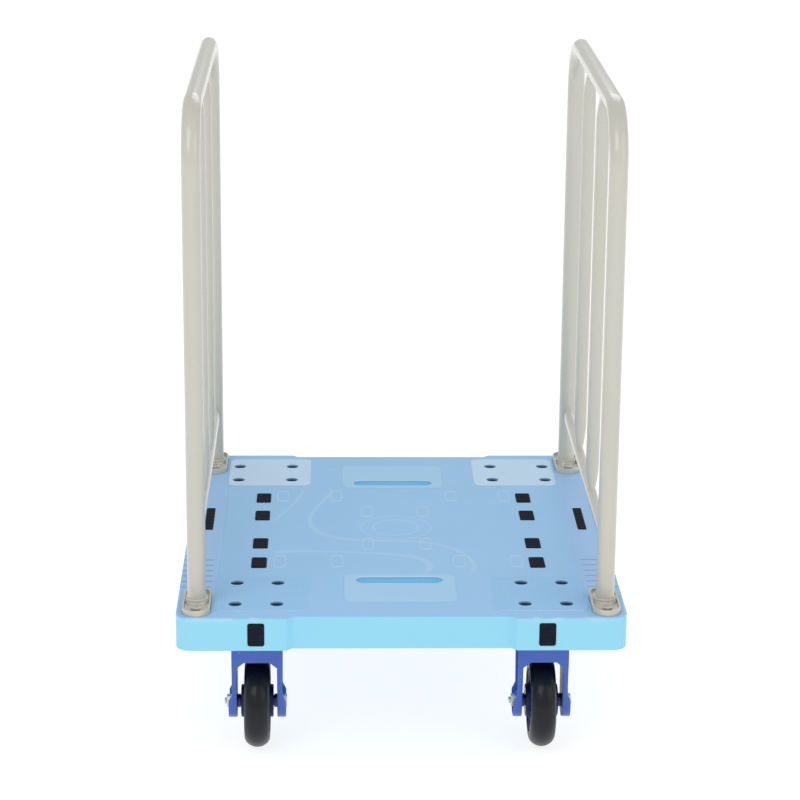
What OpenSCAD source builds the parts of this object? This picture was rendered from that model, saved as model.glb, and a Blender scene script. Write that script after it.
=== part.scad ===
// Platform cart with two upright tubular side frames, two fixed casters at the front
// and two swivel casters at the back.
// The origin is on the floor under the middle of the deck. +X is to the right,
// +Y points to the back and +Z points up.

/* [Deck] */
// Width of the deck, across the two side frames
deck_w = 614; // [560:1:760]
// Length of the deck, front to back
deck_l = 720; // [660:5:900]
// Height of the deck's skirt
deck_h = 48; // [40:1:60]
// Thickness of the deck's top plate and skirt
deck_wall = 4; // [3:0.5:5]
// Radius of the deck's upright corners
corner_r = 20; // [10:1:30]
// Thickness of the stiffening ribs
rib_t = 3; // [2:0.5:4]
// Largest distance between two ribs
rib_pitch = 62; // [45:1:75]
// Depth of the recess in the middle of the front and back faces
recess_d = 8; // [4:1:12]
// Half the width of that recess
recess_half = 157; // [120:1:170]

/* [Hand-holds and pads] */
// Length of a hand-hold slot
slot_l = 122; // [90:1:140]
// Width of a hand-hold slot
slot_w = 24; // [20:1:30]
// Distance from the deck's end to the middle of the slot
slot_inset = 144; // [130:1:160]
// Height of the raised textured panels
panel_h = 1; // [0.5:0.1:1.5]
// Width and length of a grip pad
grip_size = [22, 44]; // [16:1:50]
// Distances of the grip pads in front of and behind the middle
grip_y = [62, 144]; // [50:1:160]
// Distance of the grip pads from the middle line
grip_x = 199; // [170:1:210]
// How far the pads stand proud of the deck
pad_proud = 1.5; // [1:0.5:3]
// Depth of a pad's pocket
pocket_d = 2; // [1:0.5:2.5]
// Width and length of a long side pad
side_pad_size = [13, 98]; // [10:1:110]
// Distance from the middle to the centre of a side pad, towards the back
side_pad_y = 47; // [20:1:80]
// Width and height of an end bumper
bumper_size = [23, 33]; // [18:1:36]

/* [Side frames] */
// Outside diameter of the frame tube
tube_d = 25.4; // [20:0.2:32]
// Wall of every tube
tube_wall = 1.6; // [1.2:0.1:2.2]
// Height of a side frame above the deck
frame_h = 694; // [500:1:860]
// Bend radius of the frame tube, at its centre line
bend_r = 75; // [50:1:110]
// Distance from the deck's side to a post's axis
post_inset_x = 27.5; // [25:0.5:40]
// Distance from the deck's end to a post's axis
post_inset_y = 50; // [48:1:70]
// Height of the lower rail's axis above the deck
rail_z = 89; // [60:1:160]
// Outside diameter of the lower rail
rail_d = 16; // [13:0.5:20]
// Outside diameter of the upright bars
bar_d = 19; // [14:0.5:22]
// Distance of each upright bar from the middle
bar_y = 97; // [80:1:120]
// Length of the pressed end of a bar or rail
press_l = 40; // [25:1:55]
// Thickness that a pressed end comes down to
press_t = 6; // [4:0.5:8]

/* [Feet] */
// Width and length of a foot plate
foot_size = [38, 94]; // [36:1:98]
// Thickness of a foot plate
foot_t = 5; // [4:0.5:7]
// Height and thickness of the rim round a foot plate
foot_rim = [4, 2.5]; // [2:0.5:5]
// Depth of the seat in the deck that a foot plate stands in
foot_seat = 1; // [0.5:0.5:1.5]
// Gap between a foot washer and the rim of its plate
foot_bolt_gap = 1.1; // [0.5:0.1:2]
// Thread diameter of the foot and caster bolts
bolt_d = 8; // [6:0.5:10]
// Depth of the wells under the deck that hide the foot nuts
foot_well_depth = 20; // [16:1:26]

/* [Casters] */
// Distance from the deck's side to a caster's middle
caster_inset_x = 108; // [102:1:118]
// Distance from the deck's end to a caster's middle
caster_inset_y = 93; // [90:1:110]
// Bolt spacing of a fixed caster, across and along
fixed_pattern = [57, 82]; // [50:1:90]
// Bolt spacing of a swivel caster, across and along
swivel_pattern = [83, 67]; // [64:1:90]
// Edge of a caster's plate outside its bolt holes
plate_edge = 13; // [10:1:16]
// Thickness of a caster's plate
plate_t = 4; // [3:0.5:6]
// Gap round a washer in its bolt well
well_gap = 0.85; // [0.5:0.05:2]
// Depth of those wells
well_depth = 14; // [12:1:18]
// Inside width of a fork
fork_gap = 56; // [52:1:64]
// Thickness of the fork's sheet
fork_t = 3.2; // [2.5:0.1:4]
// Width of the rim folded round a fork leg
fork_rim = 7; // [6:0.5:10]
// Extra width of that rim beside the axle
fork_flare = 5; // [2:0.5:6]
// Diameter of the boss pressed out round the axle
axle_boss_d = 26; // [22:1:30]
// Radius of the lower end of a fork leg
fork_end_r = 23; // [20:1:26]
// Half the length of a swivel fork's leg at its top
fork_top_half = 41; // [34:1:44]
// Depth of the skirts in front of and behind a fixed wheel
skirt_drop = 39; // [28:1:40]
// Width and height of the chamfers at the skirt's lower corners
skirt_chamfer = [10, 8]; // [6:1:14]
// Distance that a swivel caster's axle trails its pivot
trail = 35; // [25:1:42]

/* [Wheels] */
// Diameter of the tyre
wheel_d = 130; // [100:1:160]
// Width of the tyre
tyre_w = 35; // [28:1:40]
// Radius of the tread's crown, across the wheel
crown_r = 20; // [18:1:30]
// Thickness of the rubber at the tread
tyre_t = 20; // [14:1:22]
// Free height from the tyre to the deck
tread_gap = 47; // [46:1:70]
// Width and diameter of the hub's boss
hub_size = [45, 46]; // [40:1:50]
// Width and height of the chamfer round the boss
hub_chamfer = [3, 4]; // [1:0.5:5]
// Thickness of the hub's web
web_t = 12; // [8:1:18]
// Outside diameter and width of a wheel bearing
bearing_size = [35, 11]; // [9:1:40]
// Outside diameter of the axle sleeve
sleeve_d = 15; // [13:0.5:18]
// Outside diameter of the spacer rings on the axle
spacer_d = 19; // [17:0.5:24]
// Thread diameter of the axle bolt
axle_d = 10; // [8:0.5:12]

/* [Swivel race] */
// Diameter of a race ball
ball_d = 8; // [6:0.5:9]
// Number of balls in a race
ball_count = 18; // [12:1:19]
// Radius of the circle of balls
race_r = 27; // [26:0.5:28]
// Diameter of the king pin
king_d = 12; // [10:0.5:14]

/* [Clearances] */
// Running clearance round a shaft, on the radius
run_gap = 0.05; // [0.02:0.01:0.1]
// Clearance of a bolt in its hole, on the radius
bolt_gap = 0.3; // [0.2:0.05:0.5]
// Gap between parts that move past each other
pass_gap = 1; // [0.5:0.1:1.5]
// Clearance of a ball in its groove, on the radius
ball_gap = 0.1; // [0.05:0.05:0.3]
// Clearance round a pad in its pocket
pad_gap = 0.1; // [0.05:0.05:0.3]
// Clearance round a foot plate in its seat
seat_gap = 0.5; // [0.3:0.1:1]

/* [Hidden] */
$fn = 64;

LEFT = -1;
RIGHT = 1;
FRONT = -1;
BACK = 1;
SIDES = [LEFT, RIGHT];
ENDS = [FRONT, BACK];

// Colours
deck_blue = [0.55, 0.78, 0.93];
ivory = [0.87, 0.86, 0.80];
fork_blue = [0.24, 0.38, 0.74];
hub_blue = [0.13, 0.12, 0.35];
rubber = [0.09, 0.10, 0.14];
zinc = [0.75, 0.76, 0.78];

// Overlap that joins two solids of one piece, and how far a cutter runs past a face
join = 0.5;
past = 1;

// Deck mouldings
rib_lift = 3;
boss_wall = 4;
plate_pad_h = 6;
plate_corner_r = 8;
foot_boss_d = 24;
slot_wall = 4;
slot_wall_lift = 8;
panel_corner_r = 12;
corner_panel = [128, 132];
corner_panel_shift = [7, 3];
hand_panel = [156, 106];
hand_panel_shift = 31;
grip_corner_r = 3;
side_pad_corner_r = 2;
bumper_corner_r = 3;
grip_slit = 1.5;
grip_slit_end = 5;

// Side frames
weld_h = 6;
weld_low = 4;
weld_high = 1.5;
press_start = 0.4;

// Forks
shoulder_drop = 35;
flare_low = 20;
flare_high = 18;
flare_slope = 8;
swivel_skirt = 12;

// Wheels
tyre_key = [3, 3];
hub_rim_t = 7;
hub_rim_inset = 1.5;
thread_end = 3;
shield_groove = [4, 1.5];

// Heights above the floor
axle_z = wheel_d / 2;
deck_bottom = wheel_d + tread_gap;
deck_top = deck_bottom + deck_h;
plate_bottom = deck_bottom - plate_t;
rail_axis_z = deck_top + rail_z;
hoop_axis_z = deck_top + frame_h - tube_d / 2;
foot_bottom = deck_top - foot_seat;
foot_top = foot_bottom + foot_t;

// Places of the posts and casters, from the deck's edges
post_x = deck_w / 2 - post_inset_x;
post_y = deck_l / 2 - post_inset_y;
caster_x = deck_w / 2 - caster_inset_x;
caster_y = deck_l / 2 - caster_inset_y;
slot_y = deck_l / 2 - slot_inset;
side_pad_x = post_x - 2;
bumper_x = caster_x - 1;
bumper_z = deck_top - deck_h / 2 - 1;

// Fasteners, in proportion to their thread
function head_flats(d) = 1.6 * d;
function head_h(d) = 0.65 * d;
function nut_h(d) = 0.8 * d;
function washer_d(d) = 2.1 * d;
function washer_t(d) = 0.2 * d;
hole_r = bolt_d / 2 + bolt_gap;
well_d = washer_d(bolt_d) + 2 * well_gap;
foot_bolt_y = foot_size[1] / 2 - foot_rim[1] - washer_d(bolt_d) / 2 - foot_bolt_gap;

// Race, from the plate downwards
groove_cover = 4;
ball_z = plate_bottom - ball_d / 2 - ball_gap - groove_cover;
collar_bottom = ball_z + pass_gap / 2;
crown_top = ball_z - pass_gap / 2;
crown_t = ball_d / 2 + 2;
crown_bottom = crown_top - crown_t;
race_outer_r = race_r + ball_d / 2 + groove_cover;
fork_top_z = crown_bottom - fork_t;

// Fork plates, legs and bosses
fork_half = fork_gap / 2 + fork_rim;
fixed_top_half = fixed_pattern[1] / 2 - head_flats(bolt_d) / 2 / cos(30) - pass_gap;
boss_face = fork_half;

// ---------------------------------------------------------------- helpers

// Rectangle with round corners, centred
module round_rect(w, l, r) {
    square([w - 2 * r, l], center = true);
    square([w, l - 2 * r], center = true);
    for (x = [-1, 1], y = [-1, 1])
        translate([x * (w / 2 - r), y * (l / 2 - r)]) circle(r);
}

// Hexagon with its flats d apart
module hexagon(flats) {
    circle(d = flats / cos(30), $fn = 6);
}

// Rod along X between two ends, centred on the axis
module x_rod(r, x0, x1) {
    translate([x0, 0, 0]) rotate([0, 90, 0]) cylinder(r = r, h = x1 - x0);
}

// Ring along X between two ends
module x_ring(r_out, r_in, x0, x1) {
    difference() {
        x_rod(r_out, x0, x1);
        x_rod(r_in, x0 - past, x1 + past);
    }
}

// Flat washer lying with its lower face at z = 0
module washer(d) {
    difference() {
        cylinder(d = washer_d(d), h = washer_t(d));
        translate([0, 0, -past]) cylinder(r = d / 2 + bolt_gap, h = washer_t(d) + 2 * past);
    }
}

// Hexagon nut with its upper face at z = 0
module nut(d) {
    translate([0, 0, -nut_h(d)]) difference() {
        intersection() {
            linear_extrude(nut_h(d)) hexagon(head_flats(d));
            translate([0, 0, nut_h(d) / 2]) sphere(r = 1.02 * head_flats(d) / 2 / cos(30));
        }
        translate([0, 0, -past]) cylinder(d = d, h = nut_h(d) + 2 * past);
    }
}

// Hexagon bolt hanging from z = 0, with a shank of the given length
module bolt(d, length) {
    intersection() {
        linear_extrude(head_h(d)) hexagon(head_flats(d));
        translate([0, 0, -head_flats(d) * 0.35]) sphere(r = head_flats(d) * 0.82);
    }
    translate([0, 0, -length]) cylinder(d = d, h = length + join);
}

// Places of the four bolts of a caster
module at_pattern(pattern) {
    for (x = [-0.5, 0.5], y = [-0.5, 0.5])
        translate([x * pattern[0], y * pattern[1], 0]) children();
}

// Places of all sixteen caster bolts
module at_caster_bolts() {
    for (s = SIDES) {
        translate([s * caster_x, -caster_y, 0]) at_pattern(fixed_pattern) children();
        translate([s * caster_x, caster_y, 0]) at_pattern(swivel_pattern) children();
    }
}

// Places of the eight foot bolts
module at_foot_bolts() {
    for (s = SIDES, e = ENDS, b = [-1, 1])
        translate([s * post_x, e * post_y + b * foot_bolt_y, 0]) children();
}

// ---------------------------------------------------------------- deck

// Outline of the deck, drawn in by inset, with its end recesses
module deck_outline(inset) {
    difference() {
        round_rect(deck_w - 2 * inset, deck_l - 2 * inset, corner_r - inset);
        for (e = ENDS)
            scale([1, e]) translate([0, deck_l / 2])
                polygon([
                    [-recess_half - inset, past], [-recess_half - inset, -inset],
                    [-recess_half + recess_d, -recess_d - inset],
                    [recess_half - recess_d, -recess_d - inset],
                    [recess_half + inset, -inset], [recess_half + inset, past]
                ]);
    }
}

// Lattice of ribs under the top plate
module ribs() {
    nx = ceil(deck_w / rib_pitch);
    ny = ceil(deck_l / rib_pitch);
    for (i = [1:nx - 1])
        translate([-deck_w / 2 + i * deck_w / nx, 0]) square([rib_t, deck_l], center = true);
    for (i = [1:ny - 1])
        translate([0, -deck_l / 2 + i * deck_l / ny]) square([deck_w, rib_t], center = true);
}

module deck_shell() {
    translate([0, 0, deck_top - deck_wall]) linear_extrude(deck_wall) deck_outline(0);
    translate([0, 0, deck_bottom]) linear_extrude(deck_h) difference() {
        deck_outline(0);
        deck_outline(deck_wall);
    }
    translate([0, 0, deck_bottom + rib_lift]) linear_extrude(deck_h - rib_lift - past) intersection() {
        ribs();
        deck_outline(past);
    }
}

// Pad under the deck for a caster's plate
module plate_pad(pattern) {
    linear_extrude(plate_pad_h)
        round_rect(pattern[0] + 2 * plate_edge, pattern[1] + 2 * plate_edge, plate_corner_r);
}

// Solid pads, bosses and walls that carry the casters, feet and hand-holds
module deck_bosses() {
    for (s = SIDES) {
        translate([s * caster_x, -caster_y, deck_bottom]) plate_pad(fixed_pattern);
        translate([s * caster_x, caster_y, deck_bottom]) plate_pad(swivel_pattern);
    }
    translate([0, 0, deck_bottom]) at_caster_bolts()
        cylinder(d = well_d + 2 * boss_wall, h = deck_h - past);
    translate([0, 0, deck_bottom]) linear_extrude(deck_h - foot_seat - past) intersection() {
        at_foot_bolts() circle(d = foot_boss_d);
        deck_outline(join);
    }
    for (e = ENDS)
        translate([0, e * slot_y, deck_bottom + slot_wall_lift])
            linear_extrude(deck_h - slot_wall_lift - past)
                round_rect(slot_l + 2 * slot_wall, slot_w + 2 * slot_wall, slot_w / 2 + slot_wall - 0.01);
}

// Raised panels round the bolt wells and the hand-holds
module deck_panels() {
    translate([0, 0, deck_top - join]) linear_extrude(panel_h + join) {
        for (s = SIDES, e = ENDS)
            translate([s * (caster_x - corner_panel_shift[0]), e * (caster_y + corner_panel_shift[1])])
                round_rect(corner_panel[0], corner_panel[1], panel_corner_r);
        for (e = ENDS)
            translate([0, e * (slot_y + hand_panel_shift)])
                round_rect(hand_panel[0], hand_panel[1], panel_corner_r);
    }
}

// Outline of a foot plate, drawn out by grow
module foot_outline(grow) {
    w = foot_size[0] + 2 * grow;
    round_rect(w, foot_size[1] + 2 * grow, w / 2 - 0.01);
}

module deck() {
    color(deck_blue) difference() {
        union() {
            deck_shell();
            deck_bosses();
            deck_panels();
        }
        // Wells and holes for the caster bolts
        at_caster_bolts() {
            translate([0, 0, deck_top - well_depth]) cylinder(d = well_d, h = well_depth + panel_h + past);
            translate([0, 0, deck_bottom - past]) cylinder(r = hole_r, h = deck_h);
        }
        // Seats, holes and lower wells of the feet
        for (s = SIDES, e = ENDS)
            translate([s * post_x, e * post_y, foot_bottom])
                linear_extrude(foot_seat + panel_h + past) foot_outline(seat_gap);
        translate([0, 0, deck_bottom - past]) at_foot_bolts() {
            cylinder(r = hole_r, h = deck_h + 2 * past);
            cylinder(d = washer_d(bolt_d) + past, h = foot_well_depth + past);
        }
        // Hand-hold slots
        for (e = ENDS)
            translate([0, e * slot_y, deck_bottom - past]) linear_extrude(deck_h + panel_h + 2 * past)
                round_rect(slot_l, slot_w, slot_w / 2 - 0.01);
        // Pockets of the pads and bumpers
        translate([0, 0, deck_top - pocket_d]) linear_extrude(pocket_d + past) {
            grip_outlines(0);
            side_pad_outlines(0);
        }
        bumper_blocks(-pocket_d, past, 0);
    }
}

// ---------------------------------------------------------------- pads

// Rectangle of the given size and corner radius, drawn in by gap
module pad_outline(size, r, gap) {
    round_rect(size[0] - 2 * gap, size[1] - 2 * gap, r);
}

module grip_outlines(gap) {
    for (s = SIDES, e = ENDS, y = grip_y)
        translate([s * grip_x, e * y]) pad_outline(grip_size, grip_corner_r, gap);
}

module side_pad_outlines(gap) {
    for (s = SIDES)
        translate([s * side_pad_x, side_pad_y]) pad_outline(side_pad_size, side_pad_corner_r, gap);
}

// Blocks on the front and back faces, between two depths measured from the face
module bumper_blocks(y0, y1, gap) {
    for (s = SIDES, e = ENDS)
        translate([s * bumper_x, e * (deck_l / 2 + (y0 + y1) / 2), bumper_z])
            rotate([90, 0, 0]) linear_extrude(y1 - y0, center = true)
                pad_outline(bumper_size, bumper_corner_r, gap);
}

module grip_pads() {
    color(rubber) translate([0, 0, deck_top - pocket_d])
        linear_extrude(pocket_d + pad_proud) difference() {
            grip_outlines(pad_gap);
            for (s = SIDES, e = ENDS, y = grip_y)
                translate([s * grip_x, e * y])
                    square([grip_slit, grip_size[1] - 2 * grip_slit_end], center = true);
        }
}

module side_pads() {
    color(rubber) translate([0, 0, deck_top - pocket_d])
        linear_extrude(pocket_d + pad_proud) side_pad_outlines(pad_gap);
}

module end_bumpers() {
    color(rubber) bumper_blocks(-pocket_d, pad_proud, pad_gap);
}

// ---------------------------------------------------------------- side frames

// Path of a hoop's tube, solid, with the given radius
module hoop_rod(r) {
    base_z = foot_top;
    for (e = ENDS) {
        translate([0, e * post_y, base_z]) cylinder(r = r, h = hoop_axis_z - bend_r - base_z);
        scale([1, e, 1]) translate([0, post_y - bend_r, hoop_axis_z - bend_r])
            rotate([90, 0, 90]) rotate_extrude(angle = 90) translate([bend_r, 0]) circle(r);
    }
    translate([0, -post_y + bend_r, hoop_axis_z]) rotate([-90, 0, 0])
        cylinder(r = r, h = 2 * (post_y - bend_r));
}

module hoop(side) {
    color(ivory) translate([side * post_x, 0, 0]) difference() {
        hoop_rod(tube_d / 2);
        hoop_rod(tube_d / 2 - tube_wall);
    }
}

// Rod along Z from 0 to length whose ends are pressed thin in X. The pressing curves start
// just outside the rod, so that they cut it cleanly.
module pressed_rod(r, length, half_t) {
    start = r + press_start;
    curve_r = (press_l * press_l + pow(start - half_t, 2)) / (2 * (start - half_t));
    intersection() {
        cylinder(r = r, h = length);
        rotate([90, 0, 0]) linear_extrude(4 * r, center = true) {
            translate([-2 * r, press_l]) square([4 * r, length - 2 * press_l]);
            for (z = [press_l, length - press_l])
                translate([0, z]) intersection() {
                    translate([curve_r - start, 0]) circle(curve_r, $fn = 180);
                    translate([start - curve_r, 0]) circle(curve_r, $fn = 180);
                    square([4 * r, 2 * press_l], center = true);
                }
        }
    }
}

// Tube with pressed ends, from z = 0 upwards
module pressed_tube(d, length) {
    difference() {
        pressed_rod(d / 2, length, press_t / 2);
        pressed_rod(d / 2 - tube_wall, length, press_t / 2 - tube_wall);
    }
}

// Rail between the two posts of a side frame
module lower_rail(side) {
    color(ivory) translate([side * post_x, 0, rail_axis_z]) difference() {
        translate([0, -post_y, 0]) rotate([-90, 0, 0]) pressed_tube(rail_d, 2 * post_y);
        for (e = ENDS)
            translate([0, e * post_y, -rail_d]) cylinder(d = tube_d, h = 2 * rail_d);
    }
}

// Upright bar between the top of the lower rail and the underside of the hoop's top
module upright_bar(side, end) {
    low = rail_axis_z + rail_d / 2;
    high = hoop_axis_z - tube_d / 2;
    color(ivory) translate([side * post_x, end * bar_y, low]) pressed_tube(bar_d, high - low);
}

// Plate welded round the bottom of a post and bolted to the deck
module foot(side, end) {
    color(ivory) translate([side * post_x, end * post_y, foot_bottom]) difference() {
        union() {
            linear_extrude(foot_t) foot_outline(0);
            linear_extrude(foot_t + foot_rim[0]) difference() {
                foot_outline(0);
                foot_outline(-foot_rim[1]);
            }
            translate([0, 0, foot_t])
                cylinder(r1 = tube_d / 2 + weld_low, r2 = tube_d / 2 + weld_high, h = weld_h);
        }
        translate([0, 0, foot_t]) cylinder(d = tube_d, h = weld_h + past);
        for (b = [-1, 1])
            translate([0, b * foot_bolt_y, -past]) cylinder(r = hole_r, h = foot_t + 2 * past);
    }
}

foot_head_z = foot_top + washer_t(bolt_d);
foot_nut_z = deck_bottom + foot_well_depth - washer_t(bolt_d);

module foot_bolts() {
    color(zinc) translate([0, 0, foot_head_z]) at_foot_bolts()
        bolt(bolt_d, foot_head_z - foot_nut_z + nut_h(bolt_d) + thread_end);
}

module foot_washers() {
    color(zinc) at_foot_bolts() {
        translate([0, 0, foot_top]) washer(bolt_d);
        translate([0, 0, foot_nut_z]) washer(bolt_d);
    }
}

module foot_nuts() {
    color(zinc) translate([0, 0, foot_nut_z]) at_foot_bolts() nut(bolt_d);
}

// ---------------------------------------------------------------- caster fasteners

well_head_z = deck_top - well_depth + washer_t(bolt_d);

module caster_bolts() {
    color(zinc) translate([0, 0, well_head_z]) at_caster_bolts()
        bolt(bolt_d, well_head_z - plate_bottom + nut_h(bolt_d) + thread_end - 1);
}

module caster_washers() {
    color(zinc) translate([0, 0, deck_top - well_depth]) at_caster_bolts() washer(bolt_d);
}

module caster_nuts() {
    color(zinc) translate([0, 0, plate_bottom]) at_caster_bolts() nut(bolt_d);
}

// Top plate of a caster, lying under the deck
module caster_plate(pattern) {
    translate([0, 0, plate_bottom]) difference() {
        linear_extrude(plate_t)
            round_rect(pattern[0] + 2 * plate_edge, pattern[1] + 2 * plate_edge, plate_corner_r);
        at_pattern(pattern) translate([0, 0, -past]) cylinder(r = hole_r, h = plate_t + 2 * past);
    }
}

// ---------------------------------------------------------------- forks

// Side view of a fork leg: the axle is at the origin and the top runs from y0 to y1
module leg_profile(y0, y1, top, inset) {
    r = fork_end_r - inset;
    circle(r);
    polygon([
        [-r, 0], [y0 + inset, top - shoulder_drop], [y0 + inset, top - inset],
        [y1 - inset, top - inset], [y1 - inset, top - shoulder_drop], [r, 0]
    ]);
}

// Rim folded round a fork leg, as wide as w
module leg_rim(y0, y1, top, w) {
    linear_extrude(w) difference() {
        leg_profile(y0, y1, top, 0);
        leg_profile(y0, y1, top, fork_t);
    }
}

// Leg on the +X side: sheet, folded rim, the flared rim beside the axle and the axle's boss
module fork_leg(y0, y1, top) {
    rotate([90, 0, 90]) translate([0, 0, fork_gap / 2]) {
        linear_extrude(fork_t) leg_profile(y0, y1, top, 0);
        leg_rim(y0, y1, top, fork_rim);
        cylinder(d = axle_boss_d, h = fork_rim);
        intersection() {
            leg_rim(y0, y1, top, fork_rim + fork_flare);
            rotate([0, -90, 0]) linear_extrude(4 * fork_end_r, center = true)
                polygon([
                    [0, -flare_low - flare_slope], [fork_rim, -flare_low - flare_slope],
                    [fork_rim + fork_flare, -flare_low], [fork_rim + fork_flare, flare_slope],
                    [fork_rim, flare_high], [0, flare_high]
                ]);
        }
    }
}

// Both legs, bored for the axle
module fork_legs(y0, y1, top) {
    difference() {
        for (s = SIDES) scale([s, 1, 1]) fork_leg(y0, y1, top);
        x_rod(axle_d / 2 + bolt_gap, -2 * fork_gap, 2 * fork_gap);
    }
}

// Skirt across a fork, with a chamfered arch over the wheel
module fork_skirt(y, top) {
    arch = fork_gap / 2;
    side_drop = skirt_drop + skirt_chamfer[1];
    translate([0, y, top]) rotate([90, 0, 0]) linear_extrude(fork_t, center = true)
        polygon([
            [-fork_half, 0], [-fork_half, -side_drop], [-arch, -side_drop],
            [-arch + skirt_chamfer[0], -skirt_drop], [arch - skirt_chamfer[0], -skirt_drop],
            [arch, -side_drop], [fork_half, -side_drop], [fork_half, 0]
        ]);
}

module fixed_fork(side) {
    top = plate_bottom - axle_z;
    color(fork_blue) translate([side * caster_x, -caster_y, 0]) {
        caster_plate(fixed_pattern);
        translate([0, 0, axle_z]) {
            fork_legs(-fixed_top_half, fixed_top_half, top);
            for (e = ENDS) fork_skirt(e * (fixed_top_half - fork_t / 2), top);
            translate([0, 0, top - fork_t]) linear_extrude(fork_t)
                square([2 * fork_half, 2 * fixed_top_half], center = true);
        }
    }
}

// ---------------------------------------------------------------- swivel casters

// Ring of ball grooves, used as a cutter
module ball_groove() {
    translate([0, 0, ball_z]) rotate_extrude() translate([race_r, 0])
        circle(ball_d / 2 + ball_gap);
}

module swivel_plate(side) {
    color(fork_blue) translate([side * caster_x, caster_y, 0]) difference() {
        union() {
            caster_plate(swivel_pattern);
            translate([0, 0, collar_bottom])
                cylinder(r = race_outer_r, h = plate_bottom - collar_bottom + join);
        }
        ball_groove();
        translate([0, 0, collar_bottom - past])
            cylinder(d = king_d, h = deck_bottom - collar_bottom + 2 * past);
    }
}

module race_balls(side) {
    color(zinc) translate([side * caster_x, caster_y, ball_z])
        for (i = [0:ball_count - 1])
            rotate([0, 0, i * 360 / ball_count]) translate([race_r, 0, 0])
                sphere(d = ball_d, $fn = 48);
}

module swivel_fork(side) {
    top = crown_bottom - axle_z;
    color(fork_blue) translate([side * caster_x, caster_y, 0]) difference() {
        union() {
            translate([0, 0, crown_bottom - join])
                cylinder(r = race_outer_r, h = crown_t + join);
            translate([0, 0, fork_top_z]) linear_extrude(fork_t)
                square([2 * fork_half, 2 * fork_top_half], center = true);
            translate([0, -trail, axle_z])
                fork_legs(trail - fork_top_half, trail + fork_top_half, top);
            for (e = ENDS)
                translate([0, e * (fork_top_half - fork_t / 2), fork_top_z - swivel_skirt])
                    linear_extrude(swivel_skirt + past) square([2 * fork_half, fork_t], center = true);
        }
        ball_groove();
        translate([0, 0, fork_top_z - past])
            cylinder(r = king_d / 2 + run_gap, h = crown_top - fork_top_z + 2 * past);
    }
}

king_bottom = fork_top_z - pass_gap - nut_h(king_d);

module king_pins() {
    color(zinc) for (s = SIDES)
        translate([s * caster_x, caster_y, king_bottom - thread_end])
            cylinder(d = king_d, h = deck_bottom - king_bottom + thread_end);
}

module king_nuts() {
    color(zinc) for (s = SIDES)
        translate([s * caster_x, caster_y, fork_top_z - pass_gap]) nut(king_d);
}

// ---------------------------------------------------------------- wheels

// Puts a wheel's parts on its axle; at the back the axle trails the swivel pivot
module at_axle(side, end) {
    translate([side * caster_x, end == FRONT ? -caster_y : caster_y - trail, axle_z]) children();
}

rim_r = wheel_d / 2 - tyre_t;
bearing_x = hub_size[0] / 2 - bearing_size[1];

// Turns a profile drawn as [radius, x] round the axle
module on_axle() {
    rotate([0, 90, 0]) rotate_extrude() children();
}

// Key round the rim that holds the tyre
module key_section() {
    translate([rim_r - past, -tyre_key[1] / 2]) square([tyre_key[0], tyre_key[1]]);
}

module tyre(side, end) {
    color(rubber) at_axle(side, end) on_axle()
        difference() {
            intersection() {
                translate([rim_r, -tyre_w / 2]) square([tyre_t, tyre_w]);
                translate([wheel_d / 2 - crown_r, 0]) circle(crown_r);
            }
            key_section();
        }
}

module hub(side, end) {
    boss_r = hub_size[1] / 2;
    boss_x = hub_size[0] / 2;
    color(hub_blue) at_axle(side, end) on_axle() difference() {
        union() {
            // Rim, with its key
            translate([rim_r - hub_rim_t, -tyre_w / 2 + hub_rim_inset])
                square([hub_rim_t, tyre_w - 2 * hub_rim_inset]);
            key_section();
            translate([sleeve_d, -web_t / 2]) square([rim_r - sleeve_d - hub_rim_t / 2, web_t]);
            polygon([
                [0, -boss_x], [boss_r - hub_chamfer[1], -boss_x], [boss_r, -boss_x + hub_chamfer[0]],
                [boss_r, boss_x - hub_chamfer[0]], [boss_r - hub_chamfer[1], boss_x], [0, boss_x]
            ]);
        }
        translate([-past, -hub_size[0]]) square([sleeve_d / 2 + 4 + past, 2 * hub_size[0]]);
        for (s = SIDES)
            translate([-past, s * (bearing_x + bearing_size[1]) - bearing_size[1]])
                square([bearing_size[0] / 2 + past, 2 * bearing_size[1]]);
    }
}

// Two ball bearings pressed into the hub
module bearings(side, end) {
    mid_r = (bearing_size[0] + sleeve_d) / 4;
    color(zinc) at_axle(side, end) on_axle()
        for (s = SIDES)
            translate([0, s * (bearing_x + bearing_size[1] / 2)]) difference() {
                translate([sleeve_d / 2 + run_gap, -bearing_size[1] / 2])
                    square([bearing_size[0] / 2 - sleeve_d / 2 - run_gap, bearing_size[1]]);
                for (f = [-1, 1])
                    translate([mid_r, f * bearing_size[1] / 2]) square(shield_groove, center = true);
            }
}

// Axle sleeve between the fork legs, with a spacer ring at each end
module sleeve(side, end) {
    color(zinc) at_axle(side, end) {
        x_ring(sleeve_d / 2, axle_d / 2 + bolt_gap / 2, -fork_gap / 2, fork_gap / 2);
        for (s = SIDES) scale([s, 1, 1])
            x_ring(spacer_d / 2, sleeve_d / 2, hub_size[0] / 2 + pass_gap, fork_gap / 2);
    }
}

module axle_bolt(side, end) {
    color(zinc) at_axle(side, end) translate([boss_face, 0, 0]) rotate([0, 90, 0])
        bolt(axle_d, 2 * boss_face + nut_h(axle_d) + thread_end);
}

module axle_nut(side, end) {
    color(zinc) at_axle(side, end) translate([-boss_face, 0, 0]) rotate([0, 90, 0]) nut(axle_d);
}

// ---------------------------------------------------------------- nodes

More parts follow.
